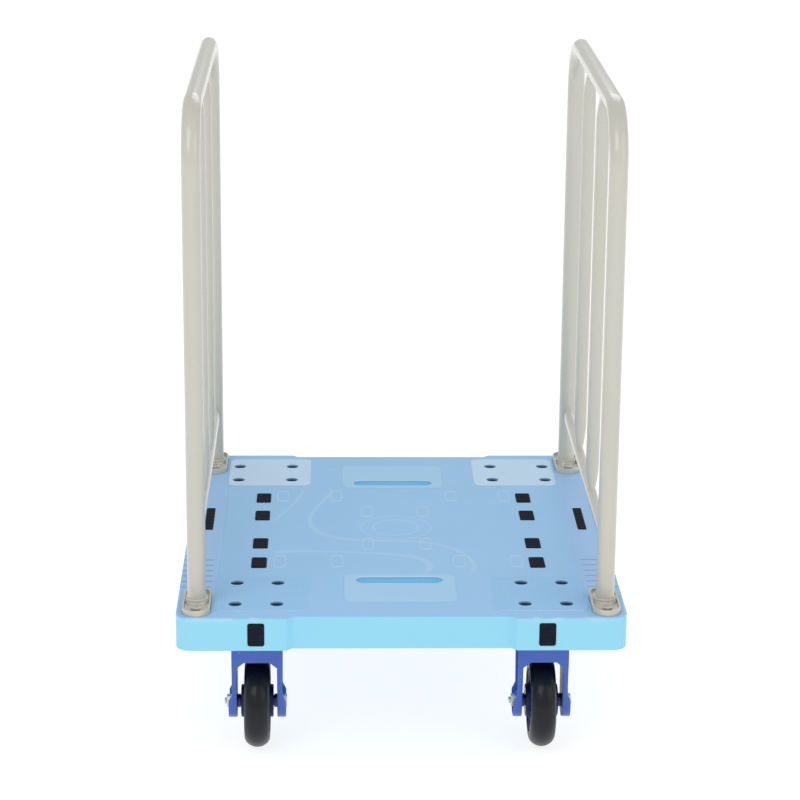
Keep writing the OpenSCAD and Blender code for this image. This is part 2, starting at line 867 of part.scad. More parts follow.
deck();
grip_pads();
side_pads();
end_bumpers();
hoop(LEFT);  // left_hoop
hoop(RIGHT);  // right_hoop
lower_rail(LEFT);  // left_lower_rail
lower_rail(RIGHT);  // right_lower_rail
upright_bar(LEFT, FRONT);  // left_front_bar
upright_bar(LEFT, BACK);  // left_rear_bar
upright_bar(RIGHT, FRONT);  // right_front_bar
upright_bar(RIGHT, BACK);  // right_rear_bar
foot(LEFT, FRONT);  // left_front_foot
foot(LEFT, BACK);  // left_rear_foot
foot(RIGHT, FRONT);  // right_front_foot
foot(RIGHT, BACK);  // right_rear_foot
foot_bolts();
foot_washers();
foot_nuts();
caster_bolts();
caster_washers();
caster_nuts();
fixed_fork(LEFT);  // fixed_fork_left
fixed_fork(RIGHT);  // fixed_fork_right
swivel_plate(LEFT);  // swivel_plate_left
swivel_plate(RIGHT);  // swivel_plate_right
race_balls(LEFT);  // race_balls_left
race_balls(RIGHT);  // race_balls_right
swivel_fork(LEFT);  // swivel_fork_left
swivel_fork(RIGHT);  // swivel_fork_right
king_pins();
king_nuts();
tyre(LEFT, FRONT);  // tyre_front_left
tyre(RIGHT, FRONT);  // tyre_front_right
tyre(LEFT, BACK);  // tyre_rear_left
tyre(RIGHT, BACK);  // tyre_rear_right
hub(LEFT, FRONT);  // hub_front_left
hub(RIGHT, FRONT);  // hub_front_right
hub(LEFT, BACK);  // hub_rear_left
hub(RIGHT, BACK);  // hub_rear_right
bearings(LEFT, FRONT);  // bearings_front_left
bearings(RIGHT, FRONT);  // bearings_front_right
bearings(LEFT, BACK);  // bearings_rear_left
bearings(RIGHT, BACK);  // bearings_rear_right
sleeve(LEFT, FRONT);  // sleeve_front_left
sleeve(RIGHT, FRONT);  // sleeve_front_right
sleeve(LEFT, BACK);  // sleeve_rear_left
sleeve(RIGHT, BACK);  // sleeve_rear_right
axle_bolt(LEFT, FRONT);  // axle_bolt_front_left
axle_bolt(RIGHT, FRONT);  // axle_bolt_front_right
axle_bolt(LEFT, BACK);  // axle_bolt_rear_left
axle_bolt(RIGHT, BACK);  // axle_bolt_rear_right
axle_nut(LEFT, FRONT);  // axle_nut_front_left
axle_nut(RIGHT, FRONT);  // axle_nut_front_right
axle_nut(LEFT, BACK);  // axle_nut_rear_left
axle_nut(RIGHT, BACK);  // axle_nut_rear_right
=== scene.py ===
"""Finished pieces, materials and studio of a platform cart with two tubular side frames."""
import math

import bmesh
import bpy
from mathutils import Matrix, Vector


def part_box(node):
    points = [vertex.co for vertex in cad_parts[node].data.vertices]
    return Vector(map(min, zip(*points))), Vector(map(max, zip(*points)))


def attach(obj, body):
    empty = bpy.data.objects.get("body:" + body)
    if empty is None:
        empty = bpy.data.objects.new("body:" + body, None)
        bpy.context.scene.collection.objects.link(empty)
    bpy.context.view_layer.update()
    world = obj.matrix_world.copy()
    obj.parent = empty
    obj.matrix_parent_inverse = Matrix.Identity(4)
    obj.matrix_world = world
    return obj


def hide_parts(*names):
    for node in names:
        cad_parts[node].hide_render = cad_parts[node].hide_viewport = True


bl_info = {
    "name": "Platform cart",
    "version": (1, 0, 0),
    "blender": (4, 5, 0),
    "location": "3D View > Sidebar > Cart",
    "description": "Builds the finished pieces and the studio of a platform cart",
    "category": "Add Mesh",
}

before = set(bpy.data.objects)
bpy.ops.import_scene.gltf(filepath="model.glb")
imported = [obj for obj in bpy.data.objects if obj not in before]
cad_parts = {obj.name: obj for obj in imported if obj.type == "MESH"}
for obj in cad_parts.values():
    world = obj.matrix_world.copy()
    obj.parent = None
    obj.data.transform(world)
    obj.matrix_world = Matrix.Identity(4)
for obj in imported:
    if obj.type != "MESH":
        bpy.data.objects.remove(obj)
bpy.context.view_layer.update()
MM = 0.001
PANEL_HEIGHT = 1.0 * MM
BOSS_WALL = 5.5 * MM
CASTER_X = 199 * MM
CASTER_Y = 267 * MM

SIDES = ("left", "right")
ENDS = ("front", "rear")
WHEELS = [f"{end}_{side}" for end in ENDS for side in SIDES]


# ------------------------------------------------------------------ node helpers


class Value:
    """A number that changes over a surface. Python operators on it add Math nodes."""

    def __init__(self, graph, socket):
        self.graph = graph
        self.socket = socket

    def __add__(self, other):
        return self.graph.math("ADD", self, other)

    def __sub__(self, other):
        return self.graph.math("SUBTRACT", self, other)

    def __rsub__(self, other):
        return self.graph.math("SUBTRACT", other, self)

    def __mul__(self, other):
        return self.graph.math("MULTIPLY", self, other)

    def __truediv__(self, other):
        return self.graph.math("DIVIDE", self, other)

    __radd__ = __add__
    __rmul__ = __mul__

    def __abs__(self):
        return self.graph.math("ABSOLUTE", self)

    def least(self, other):
        return self.graph.math("MINIMUM", self, other)

    def most(self, other):
        return self.graph.math("MAXIMUM", self, other)

    def rise(self, low, high):
        """0 below low, 1 above high and smooth between; low may be the larger."""
        node = self.graph.add(
            "ShaderNodeMapRange",
            {"interpolation_type": "SMOOTHSTEP"},
            {"Value": self, "From Min": low, "From Max": high},
        )
        return Value(self.graph, node.outputs["Result"])


class Graph:
    """Adds nodes to one shader or geometry tree."""

    def __init__(self, tree):
        self.tree = tree

    def add(self, kind, settings=None, inputs=None):
        """A node of that kind: its settings are set first, then its sockets are fed."""
        node = self.tree.nodes.new(kind)
        for key, setting in (settings or {}).items():
            setattr(node, key, setting)
        for key, given in (inputs or {}).items():
            self.feed(node.inputs[key], given)
        return node

    def feed(self, socket, given):
        if isinstance(given, Value):
            given = given.socket
        if isinstance(given, bpy.types.NodeSocket):
            self.tree.links.new(given, socket)
        else:
            socket.default_value = given

    def math(self, operation, *terms):
        node = self.add("ShaderNodeMath", {"operation": operation}, dict(enumerate(terms)))
        return Value(self, node.outputs[0])

    def mix(self, share, first, second):
        """A colour between two others."""
        node = self.add(
            "ShaderNodeMix", {"data_type": "RGBA"}, {"Factor": share, 6: first, 7: second}
        )
        return node.outputs[2]

    def place(self):
        """The object's own coordinates, and their x, y and z."""
        vector = self.add("ShaderNodeTexCoord").outputs["Object"]
        parts = self.add("ShaderNodeSeparateXYZ", None, {"Vector": vector})
        return vector, [Value(self, parts.outputs[i]) for i in range(3)]

    def stretched(self, vector, scale):
        return self.add("ShaderNodeMapping", None, {"Vector": vector, "Scale": scale}).outputs[0]

    def noise(self, vector, scale, detail=2.0, roughness=0.5):
        node = self.add(
            "ShaderNodeTexNoise",
            None,
            {"Vector": vector, "Scale": scale, "Detail": detail, "Roughness": roughness},
        )
        return Value(self, node.outputs["Fac"])

    def cells(self, vector, scale):
        node = self.add("ShaderNodeTexVoronoi", None, {"Vector": vector, "Scale": scale})
        return Value(self, node.outputs["Distance"])

    def bump(self, height, strength, distance):
        node = self.add(
            "ShaderNodeBump", None, {"Height": height, "Strength": strength, "Distance": distance}
        )
        return node.outputs["Normal"]


class Finish:
    """One material: constants go on the shader's own sockets, the rest is linked to them."""

    def __init__(self, name, constants):
        self.material = bpy.data.materials.new(name)
        self.material.use_nodes = True
        self.graph = Graph(self.material.node_tree)
        self.shader = self.material.node_tree.nodes["Principled BSDF"]
        for key, given in constants.items():
            self.shader.inputs[key].default_value = given

    def link(self, socket, given):
        self.graph.feed(self.shader.inputs[socket], given)

    def cover(self, colour, roughness, height, strength, distance):
        """Links the colour and roughness, and a bump of the given height."""
        self.link("Base Color", colour)
        self.link("Roughness", roughness)
        self.link("Normal", self.graph.bump(height, strength, distance))
        return self.material


def shade(colour, factor):
    return tuple(min(1.0, channel * factor) for channel in colour[:3]) + (1.0,)


# ------------------------------------------------------------------ materials


def squared(number):
    return number * number


def well_reach(across, along, half_x, half_y):
    """Distance to the nearest of four bolt wells, from their pattern's middle."""
    return abs(abs(across - CASTER_X) - half_x).most(abs(abs(along) - half_y))


def deck_finish(looks):
    """Moulded plastic: paler raised panels, fine grain, embossed pad outlines and rubbed edges,
    with a painted lighter lit tone on the walls, painted highlights on the panel edges and painted
    shade in the bolt wells and underneath.
    """
    finish = Finish("deck_plastic", {"IOR": 1.49})
    graph = finish.graph
    vector, (x, y, z) = graph.place()
    low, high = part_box("deck")
    top = high.z - PANEL_HEIGHT
    cloud = graph.noise(vector, 7.0, 3.0)
    grain = graph.noise(vector, 1400.0, 1.0)
    mottle = graph.noise(vector, 60.0, 3.0)
    scuff_vector = graph.stretched(vector, (14.0, 260.0, 60.0))
    scuffs = graph.noise(scuff_vector, 1.0, 4.0, 0.6).rise(0.66, 0.74)
    # Panels stand one millimetre above the rest of the top
    panel = z.rise(top + 0.3 * MM, top + 0.7 * MM)
    on_top = z.rise(top - 0.4 * MM, top - 0.1 * MM)
    pale = panel * y.rise(0.0, 20 * MM).most(abs(x).rise(100 * MM, 90 * MM))
    # Embossed outlines where further grip pads could be fitted
    outline = None
    for centre_x, centre_y in looks.outline_places():
        across = abs(abs(x) - centre_x) * (1000.0 / 8.5)
        along = abs(abs(y - 8 * MM) - centre_y) * (1000.0 / 24.0)
        reach = squared(squared(across)) + squared(squared(along))
        line = reach.rise(0.48, 0.68) * reach.rise(1.6, 1.1)
        outline = line if outline is None else outline.most(line)
    # Faint rings round the middle and flowing contour lines across the top
    from_middle = squared(x) + squared(y - 8 * MM)
    curves = graph.noise(vector, 3.2, 0.0)
    lines = abs(curves - 0.5).rise(0.008, 0.003).most(abs(curves - 0.4).rise(0.008, 0.003))
    for radius in (0.034, 0.052):
        lines = lines.most(abs(from_middle - radius * radius).rise(0.00016, 0.00008))
    lines = lines * abs(x).rise(185 * MM, 170 * MM) * abs(y).rise(190 * MM, 175 * MM)
    # Grooves beside the side frames, and short ticks near the front of each side
    half_x = high.x
    groove = abs(abs(x) - (half_x - 51 * MM)).rise(2.2 * MM, 0.8 * MM)
    groove = groove * abs(y).rise(258 * MM, 250 * MM)
    strip = abs(x).rise(half_x - 51 * MM, half_x - 49 * MM) * abs(y).rise(300 * MM, 250 * MM)
    tick_phase = graph.math("PINGPONG", y, 11 * MM).rise(2.6 * MM, 1.0 * MM)
    ticks = (
        tick_phase
        * abs(x).rise(half_x - 46 * MM, half_x - 42 * MM)
        * y.rise(-110 * MM, -125 * MM)
        * y.rise(-262 * MM, -250 * MM)
    )
    # Low terraces inside the front corner panels
    panel_across = abs(abs(x) - CASTER_X + 7 * MM) / (64 * MM)
    panel_reach = panel_across.most(abs(y + CASTER_Y + 3 * MM) / (66 * MM))
    terraces = panel_reach.rise(0.95, 0.93) + panel_reach.rise(0.87, 0.85)
    terraces = terraces + panel_reach.rise(0.79, 0.77)
    terraces = terraces * y.rise(0.0, -10 * MM) * panel
    relief = outline * 0.7 + lines * 0.15 + ticks * 0.6 - groove * 0.8
    relief = relief * on_top * (1 - panel) + terraces * 0.5
    # Edges rubbed pale
    to_side = (half_x - abs(x)).least(high.y - abs(y))
    rubbed = to_side.rise(5 * MM, 0.5 * MM) * z.rise(top - 9 * MM, top - 2 * MM)
    rubbed = rubbed * mottle.rise(0.42, 0.62)
    # Below the top: the walls, which get a painted lighter lit tone, and the bolt wells, which get
    # painted shade
    front_well = well_reach(abs(x), y + CASTER_Y, 28.5 * MM, 41 * MM)
    rear_well = well_reach(abs(x), y - CASTER_Y, 41.5 * MM, 33.5 * MM)
    wall = z.rise(top - 1.5 * MM, top - 3.5 * MM)
    well_shade = front_well.least(rear_well).rise(10.2 * MM, 9.8 * MM)
    well_shade = well_shade * z.rise(top - 1.0 * MM, top - 3.0 * MM)
    blue = graph.mix(cloud * 0.5, shade(looks.deck_colour, 1.06), shade(looks.deck_colour, 0.92))
    # Painted light: the walls below the top get a lighter cyan lit tone in place of the deck blue
    blue = graph.mix(wall * 0.85, blue, tuple(looks.lit_side_colour) + (1.0,))
    blue = graph.mix(strip * on_top * 0.22, blue, (0.40, 0.46, 0.80, 1.0))
    blue = graph.mix(pale * 0.7, blue, tuple(looks.panel_colour) + (1.0,))
    rear_corners = panel * y.rise(0.0, 20 * MM) * abs(x).rise(90 * MM, 100 * MM)
    blue = graph.mix(rear_corners * 0.8, blue, (0.58, 0.76, 0.95, 1.0))
    blue = graph.mix(rubbed * 0.18, blue, (0.80, 0.90, 0.97, 1.0))
    blue = graph.mix(outline * on_top * (1 - panel) * 0.35, blue, (0.62, 0.80, 0.93, 1.0))
    blue = graph.mix(lines * on_top * (1 - panel) * 0.16, blue, (0.70, 0.86, 0.96, 1.0))
    # Painted highlight: a pale line along the raised panels' edges
    lip = z.rise(top + 0.05 * MM, top + 0.3 * MM) * z.rise(top + 0.98 * MM, top + 0.8 * MM)
    blue = graph.mix(lip * 0.6, blue, (0.78, 0.90, 0.98, 1.0))
    blue = graph.mix(ticks * on_top * 0.5, blue, (0.06, 0.13, 0.36, 1.0))
    blue = graph.mix(scuffs * on_top * 0.35, blue, shade(looks.deck_colour, 0.78))
    # Painted shade: the deck turns darker grey towards its underside
    below = z.rise(low.z + 2 * MM, low.z - 8 * MM)
    blue = graph.mix(below * 0.2, blue, (0.3, 0.36, 0.42, 1.0))
    # Painted shade: the bolt wells are filled near-black navy
    blue = graph.mix(well_shade * 0.9, blue, (0.012, 0.028, 0.12, 1.0))
    roughness = 0.40 + mottle * 0.12 + panel * 0.10 + scuffs * on_top * 0.15
    height = relief * 0.8 + grain * (0.05 + panel * 0.10) + mottle * 0.05
    return finish.cover(blue, roughness, height, 0.6, 0.9 * MM)


def frame_finish(looks):
    """Gloss powder coat with orange peel, a little grime low down and a few chips."""
    finish = Finish("frame_coat", {"Coat Weight": 0.6, "Coat Roughness": 0.06})
    graph = finish.graph
    vector, (_, _, z) = graph.place()
    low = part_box("left_front_foot")[0].z
    cloud = graph.noise(vector, 9.0, 3.0)
    peel = graph.noise(vector, 420.0, 1.0)
    grime = graph.noise(vector, 45.0, 4.0).rise(0.48, 0.75) * z.rise(low + 90 * MM, low)
    chips = graph.cells(vector, 95.0).rise(0.09, 0.06) * graph.noise(vector, 16.0).rise(0.60, 0.70)
    ivory = graph.mix(cloud * 0.6, shade(looks.frame_colour, 1.04), shade(looks.frame_colour, 0.94))
    ivory = graph.mix(grime * 0.35, ivory, (0.42, 0.39, 0.32, 1.0))
    ivory = graph.mix(chips * 0.8, ivory, (0.32, 0.31, 0.30, 1.0))
    roughness = 0.20 + cloud * 0.08 + grime * 0.25 + chips * 0.2
    height = peel * 0.5 - chips
    return finish.cover(ivory, roughness, height, 0.25, 0.25 * MM)


def fork_finish(looks):
    """Satin blue paint on pressed steel, with scratches down to bare metal."""
    finish = Finish("fork_coat", {"Coat Weight": 0.25, "Coat Roughness": 0.2})
    graph = finish.graph
    vector, (_, _, z) = graph.place()
    cloud = graph.noise(vector, 22.0, 3.0)
    peel = graph.noise(vector, 500.0, 1.0)
    scratch_vector = graph.stretched(vector, (30.0, 420.0, 60.0))
    scratches = graph.noise(scratch_vector, 1.0, 3.0, 0.7).rise(0.70, 0.76)
    chips = graph.cells(vector, 130.0).rise(0.14, 0.09) * graph.noise(vector, 30.0).rise(0.58, 0.68)
    bare = scratches.most(chips)
    dust = graph.noise(vector, 60.0, 4.0).rise(0.5, 0.8) * z.rise(70 * MM, 45 * MM)
    blue = graph.mix(cloud * 0.7, shade(looks.fork_colour, 1.12), shade(looks.fork_colour, 0.86))
    blue = graph.mix(bare * 0.55, blue, (0.42, 0.44, 0.50, 1.0))
    blue = graph.mix(dust * 0.3, blue, (0.36, 0.35, 0.33, 1.0))
    finish.link("Metallic", bare * 0.5)
    roughness = 0.34 + cloud * 0.12 + dust * 0.25
    height = peel * 0.35 - bare * 0.8
    return finish.cover(blue, roughness, height, 0.3, 0.3 * MM)


def zinc_finish(name, bright, warm):
    """Zinc plate with a faint bloom between two tints, and fine turning marks."""
    finish = Finish(name, {"Metallic": 1.0})
    graph = finish.graph
    vector, _ = graph.place()
    bloom = graph.noise(vector, 90.0, 2.0)
    marks = graph.noise(graph.stretched(vector, (1.0, 1.0, 9.0)), 700.0, 2.0)
    stain = graph.noise(vector, 240.0, 3.0).rise(0.62, 0.80)
    tint = graph.mix(bloom, bright, warm)
    colour = graph.mix(stain * 0.5, tint, (0.38, 0.37, 0.35, 1.0))
    roughness = 0.24 + marks * 0.14 + stain * 0.2
    height = marks
    return finish.cover(colour, roughness, height, 0.2, 0.1 * MM)


def steel_finish():
    """Ground bearing steel under a film of oil."""
    finish = Finish(
        "race_steel", {"Metallic": 1.0, "Coat Weight": 0.3, "Coat Roughness": 0.15}
    )
    graph = finish.graph
    vector, _ = graph.place()
    marks = graph.noise(graph.stretched(vector, (40.0, 1.0, 1.0)), 160.0, 2.0)
    film = graph.noise(vector, 120.0, 3.0)
    colour = graph.mix(film, (0.50, 0.51, 0.53, 1.0), (0.36, 0.36, 0.37, 1.0))
    roughness = 0.18 + marks * 0.18
    height = marks
    return finish.cover(colour, roughness, height, 0.15, 0.08 * MM)


def tyre_finish(looks):
    """Black rubber, satin on the shoulders and dulled by dust on the tread."""
    finish = Finish(
        "tyre_rubber", {"Specular IOR Level": 0.25, "Coat Weight": 0.2, "Coat Roughness": 0.12}
    )
    graph = finish.graph
    vector, _ = graph.place()
    fine = graph.noise(vector, 900.0, 2.0)
    cloud = graph.noise(vector, 35.0, 4.0)
    wear = graph.noise(graph.stretched(vector, (320.0, 30.0, 30.0)), 1.0, 4.0, 0.6)
    dust = cloud.rise(0.50, 0.78) * wear.rise(0.35, 0.7)
    black = graph.mix(cloud, shade(looks.tyre_colour, 0.8), shade(looks.tyre_colour, 1.3))
    colour = graph.mix(dust * 0.08, black, (0.16, 0.15, 0.14, 1.0))
    roughness = 0.36 + cloud * 0.14 + dust * 0.25
    height = fine * 0.5 + wear * 0.5
    return finish.cover(colour, roughness, height, 0.3, 0.2 * MM)


def hub_finish(looks):
    """Dark blue moulded nylon with flow marks."""
    finish = Finish("hub_nylon", {"Specular IOR Level": 0.25})
    graph = finish.graph
    vector, _ = graph.place()
    flow = graph.noise(graph.stretched(vector, (1.0, 2.0, 5.0)), 40.0, 3.0)
    fine = graph.noise(vector, 800.0, 1.0)
    navy = graph.mix(flow, shade(looks.hub_colour, 0.8), shade(looks.hub_colour, 1.25))
    scuffs = graph.noise(vector, 130.0, 4.0).rise(0.60, 0.72)
    colour = graph.mix(scuffs * 0.1, navy, (0.20, 0.20, 0.34, 1.0))
    roughness = 0.30 + flow * 0.12 + scuffs * 0.15
    height = fine * 0.5 + flow
    return finish.cover(colour, roughness, height, 0.2, 0.2 * MM)


def pad_finish(looks):
    """Near-black soft rubber with a fine stipple and pale dust in it."""
    finish = Finish("pad_rubber", {"Specular IOR Level": 0.15})
    graph = finish.graph
    vector, _ = graph.place()
    stipple = graph.cells(vector, 900.0)
    cloud = graph.noise(vector, 110.0, 4.0)
    dust = cloud.rise(0.52, 0.80)
    black = graph.mix(cloud, shade(looks.pad_colour, 0.8), shade(looks.pad_colour, 1.3))
    colour = graph.mix(dust * 0.08, black, (0.16, 0.18, 0.24, 1.0))
    roughness = 0.55 + cloud * 0.2
    height = stipple
    return finish.cover(colour, roughness, height, 0.4, 0.25 * MM)


# ------------------------------------------------------------------ mesh helpers


def new_piece(name, mesh, material):
    piece = bpy.data.objects.new(name, mesh)
    bpy.context.scene.collection.objects.link(piece)
    mesh.materials.clear()
    mesh.materials.append(material)
    return piece


def soften(piece, width, angle=35.0):
    """Rounds a piece's edges and shades it smooth."""
    bevel = piece.modifiers.new("rounded_edges", "BEVEL")
    bevel.width = width
    bevel.segments = 2
    bevel.limit_method = "ANGLE"
    bevel.angle_limit = math.radians(angle)
    bevel.use_clamp_overlap = False
    weighted = piece.modifiers.new("flat_faces", "WEIGHTED_NORMAL")
    weighted.mode = "FACE_AREA"
    weighted.weight = 100
    for polygon in piece.data.polygons:
        polygon.use_smooth = True
    return piece


def settle(piece, name, body, slot, *nodes):
    """Makes modifiers permanent, and fixes the piece to its body in place of its CAD nodes."""
    graph = bpy.context.evaluated_depsgraph_get()
    mesh = bpy.data.meshes.new_from_object(piece.evaluated_get(graph))
    materials = [slot_.material for slot_ in piece.material_slots]
    bpy.data.objects.remove(piece)
    mesh.name = name
    settled = bpy.data.objects.new(name, mesh)
    bpy.context.scene.collection.objects.link(settled)
    if not mesh.materials:
        for material in materials:
            mesh.materials.append(material)
    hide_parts(*nodes)
    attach(settled, body)
    return settled


def place(mesh, material, name, body, slot, node, rounding=0.0):
    """Puts a finished mesh on its body in place of one CAD node."""
    piece = new_piece(name + "_blank", mesh, material)
    if rounding:
        soften(piece, rounding)
    return settle(piece, name, body, slot, node)


def merged_copy(node):
    """A copy of a CAD node's mesh with its loose triangles joined into flat faces."""
    sheet = bmesh.new()
    sheet.from_mesh(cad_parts[node].data)
    bmesh.ops.remove_doubles(sheet, verts=sheet.verts, dist=0.002 * MM)
    bmesh.ops.dissolve_limit(
        sheet, angle_limit=math.radians(0.6), verts=sheet.verts, edges=sheet.edges
    )
    return sheet


def share_widths(sheet, level, tall, low_share):
    """Full rounding on the upper edges of tall walls, and a share of it on every other edge."""
    layer = sheet.edges.layers.float.new("bevel_weight_edge")
    heights = {}
    for face in sheet.faces:
        levels = [vertex.co.z for vertex in face.verts]
        heights[face] = max(levels) - min(levels)
    for edge in sheet.edges:
        if len(edge.link_faces) != 2 or edge.calc_face_angle(0.0) < math.radians(35.0):
            continue
        upper = min(vertex.co.z for vertex in edge.verts) > level
        wall = max(heights[face] for face in edge.link_faces) > tall
        edge[layer] = 1.0 if upper and wall else low_share


def rounded_copy(node, name, material, body, slot, width, shared=None):
    """The CAD node with rounded edges and a finish; shared may set each edge's own width."""
    sheet = merged_copy(node)
    if shared:
        shared(sheet)
    mesh = bpy.data.meshes.new(name)
    sheet.to_mesh(mesh)
    sheet.free()
    piece = soften(new_piece(name + "_blank", mesh, material), width)
    if shared:
        piece.modifiers["rounded_edges"].limit_method = "WEIGHT"
    return settle(piece, name, body, slot, node)


def island_boxes(node):
    """The lowest and highest corner of each separate solid in a node, in a fixed order."""
    sheet = bmesh.new()
    sheet.from_mesh(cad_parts[node].data)
    bmesh.ops.remove_doubles(sheet, verts=sheet.verts, dist=0.002 * MM)
    unseen = set(sheet.verts)
    boxes = []
    while unseen:
        stack = [unseen.pop()]
        island = []
        while stack:
            vertex = stack.pop()
            island.append(vertex.co.copy())
            for edge in vertex.link_edges:
                other = edge.other_vert(vertex)
                if other in unseen:
                    unseen.discard(other)
                    stack.append(other)
        low = Vector([min(p[i] for p in island) for i in range(3)])
        high = Vector([max(p[i] for p in island) for i in range(3)])
        boxes.append((low, high))
    sheet.free()
    return sorted(boxes, key=lambda box: tuple(round(c, 5) for c in box[0]))


def loft(sheet, rings, closed=False, caps=True):
    """Joins rings of points, all with one count, into a skin."""
    rows = [[sheet.verts.new(point) for point in ring] for ring in rings]
    pairs = list(zip(rows, rows[1:]))
    if closed:
        pairs.append((rows[-1], rows[0]))
    for row, following in pairs:
        for i in range(len(row)):
            j = (i + 1) % len(row)
            sheet.faces.new((row[i], row[j], following[j], following[i]))
    if caps and not closed:
        sheet.faces.new(list(reversed(rows[0])))
        sheet.faces.new(rows[-1])
    return rows


def finish_sheet(sheet, name):
    """Merges, turns the faces outwards and returns a smooth mesh."""
    bmesh.ops.remove_doubles(sheet, verts=sheet.verts, dist=0.001 * MM)
    bmesh.ops.recalc_face_normals(sheet, faces=sheet.faces)
    mesh = bpy.data.meshes.new(name)
    sheet.to_mesh(mesh)
    sheet.free()
    for polygon in mesh.polygons:
        polygon.use_smooth = True
    mesh.set_sharp_from_angle(angle=math.radians(28))
    return mesh


def spin_about_x(sheet, profile, centre, steps=96):
    """Turns a closed profile of (radius, x) points round an axle along X."""
    rings = []
    for step in range(steps):
        angle = 2 * math.pi * step / steps
        across = Vector((0, math.cos(angle), math.sin(angle)))
        rings.append([centre + Vector((x, 0, 0)) + across * radius for radius, x in profile])
    loft(sheet, rings, closed=True)


def arc(centre, radius, start, end, steps):
    """Points on an arc, as pairs, between two angles in degrees."""
    angles = [math.radians(start + (end - start) * i / steps) for i in range(steps + 1)]
    return [
        (centre[0] + radius * math.cos(angle), centre[1] + radius * math.sin(angle))
        for angle in angles
    ]


def corner_smooth(profile, cut):
    """Replaces each corner of a closed profile by a short bevel."""
    points = [Vector(point) for point in profile]
    rounded = []
    for before, here, after in zip([points[-1]] + points[:-1], points, points[1:] + points[:1]):
        for side in (before, after):
            reach = side - here
            rounded.append(tuple(here + reach * min(0.45, cut / max(reach.length, 1e-9))))
    return rounded


# ------------------------------------------------------------------ geometry nodes


def geometry_tree(name, sockets):
    """A geometry tree with one geometry in, one out, and named inputs; returns its graph."""
    tree = bpy.data.node_groups.new(name, "GeometryNodeTree")
    tree.interface.new_socket("Geometry", in_out="INPUT", socket_type="NodeSocketGeometry")
    tree.interface.new_socket("Geometry", in_out="OUTPUT", socket_type="NodeSocketGeometry")
    for label, kind in sockets.items():
        tree.interface.new_socket(label, in_out="INPUT", socket_type=kind)
    graph = Graph(tree)
    graph.given = graph.add("NodeGroupInput").outputs
    return graph


def end_tree(graph, geometry, material):
    """Closes a tree with Realize Instances and Set Material."""
    real = graph.add("GeometryNodeRealizeInstances", None, {"Geometry": geometry})
    smooth = graph.add("GeometryNodeSetShadeSmooth", None, {"Geometry": real.outputs[0]})
    finish = graph.add(
        "GeometryNodeSetMaterial", None, {"Geometry": smooth.outputs[0], "Material": material}
    )
    graph.add("NodeGroupOutput", None, {"Geometry": finish.outputs[0]})
    return graph.tree


def run_tree(name, mesh, tree, **inputs):
    """Runs a tree on a mesh and returns the piece, still with its modifier."""
    piece = bpy.data.objects.new(name + "_blank", mesh)
    bpy.context.scene.collection.objects.link(piece)
    modifier = piece.modifiers.new("pattern", "NODES")
    modifier.node_group = tree
    identifiers = {
        item.name: item.identifier
        for item in tree.interface.items_tree
        if item.in_out == "INPUT"
    }
    for label, given in inputs.items():
        modifier[identifiers[label]] = given
    return piece


def path_mesh(name, points):
    """A line of edges through the points."""
    edges = [(i, i + 1) for i in range(len(points) - 1)]
    mesh = bpy.data.meshes.new(name)
    mesh.from_pydata([tuple(point) for point in points], edges, [])
    return mesh


def tube_tree(material):
    """A round tube along a path, with its wall."""
    sockets = dict.fromkeys(("Radius", "Wall"), "NodeSocketFloat")
    graph = geometry_tree("tube_along_path", sockets)
    line = graph.add("GeometryNodeMeshToCurve", None, {"Mesh": graph.given["Geometry"]}).outputs[0]
    skins = []
    inner = graph.math("SUBTRACT", graph.given["Radius"], graph.given["Wall"])
    for radius in (graph.given["Radius"], inner):
        ring = graph.add(
            "GeometryNodeCurvePrimitiveCircle", None, {"Resolution": 48, "Radius": radius}
        )
        skin = graph.add(
            "GeometryNodeCurveToMesh", None, {"Curve": line, "Profile Curve": ring.outputs[0]}
        )
        skins.append(skin.outputs[0])
    inside = graph.add("GeometryNodeFlipFaces", None, {"Mesh": skins[1]})
    both = graph.add("GeometryNodeJoinGeometry", None, {"Geometry": skins[0]})
    graph.tree.links.new(inside.outputs[0], both.inputs[0])
    return end_tree(graph, both.outputs[0], material)


def bead_tree(material):
    """Overlapping weld ripples along a path."""
    sockets = dict.fromkeys(("Pitch", "Radius"), "NodeSocketFloat")
    graph = geometry_tree("weld_bead", {**sockets, "Seed": "NodeSocketInt"})
    line = graph.add("GeometryNodeMeshToCurve", None, {"Mesh": graph.given["Geometry"]}).outputs[0]
    points = graph.add(
        "GeometryNodeCurveToPoints",
        {"mode": "LENGTH"},
        {"Curve": line, "Length": graph.given["Pitch"]},
    )
    ripple = graph.add(
        "GeometryNodeMeshUVSphere",
        None,
        {"Segments": 10, "Rings": 6, "Radius": graph.given["Radius"]},
    )
    size = graph.add(
        "FunctionNodeRandomValue",
        {"data_type": "FLOAT"},
        {"Min": 0.85, "Max": 1.15, "Seed": graph.given["Seed"]},
    )
    beads = graph.add(
        "GeometryNodeInstanceOnPoints",
        None,
        {
            "Points": points.outputs["Points"],
            "Instance": ripple.outputs["Mesh"],
            "Rotation": points.outputs["Rotation"],
            "Scale": size.outputs[1],
        },
    )
    return end_tree(graph, beads.outputs[0], material)


def copies_tree(name, template, material):
    """Copies of one template object on every point."""
    graph = geometry_tree(name, {"Scale": "NodeSocketFloat"})
    info = graph.add("GeometryNodeObjectInfo", None, {"Object": template})
    copies = graph.add(
        "GeometryNodeInstanceOnPoints",
        None,
        {
            "Points": graph.given["Geometry"],
            "Instance": info.outputs["Geometry"],
            "Scale": graph.given["Scale"],
        },
    )
    return end_tree(graph, copies.outputs[0], material)


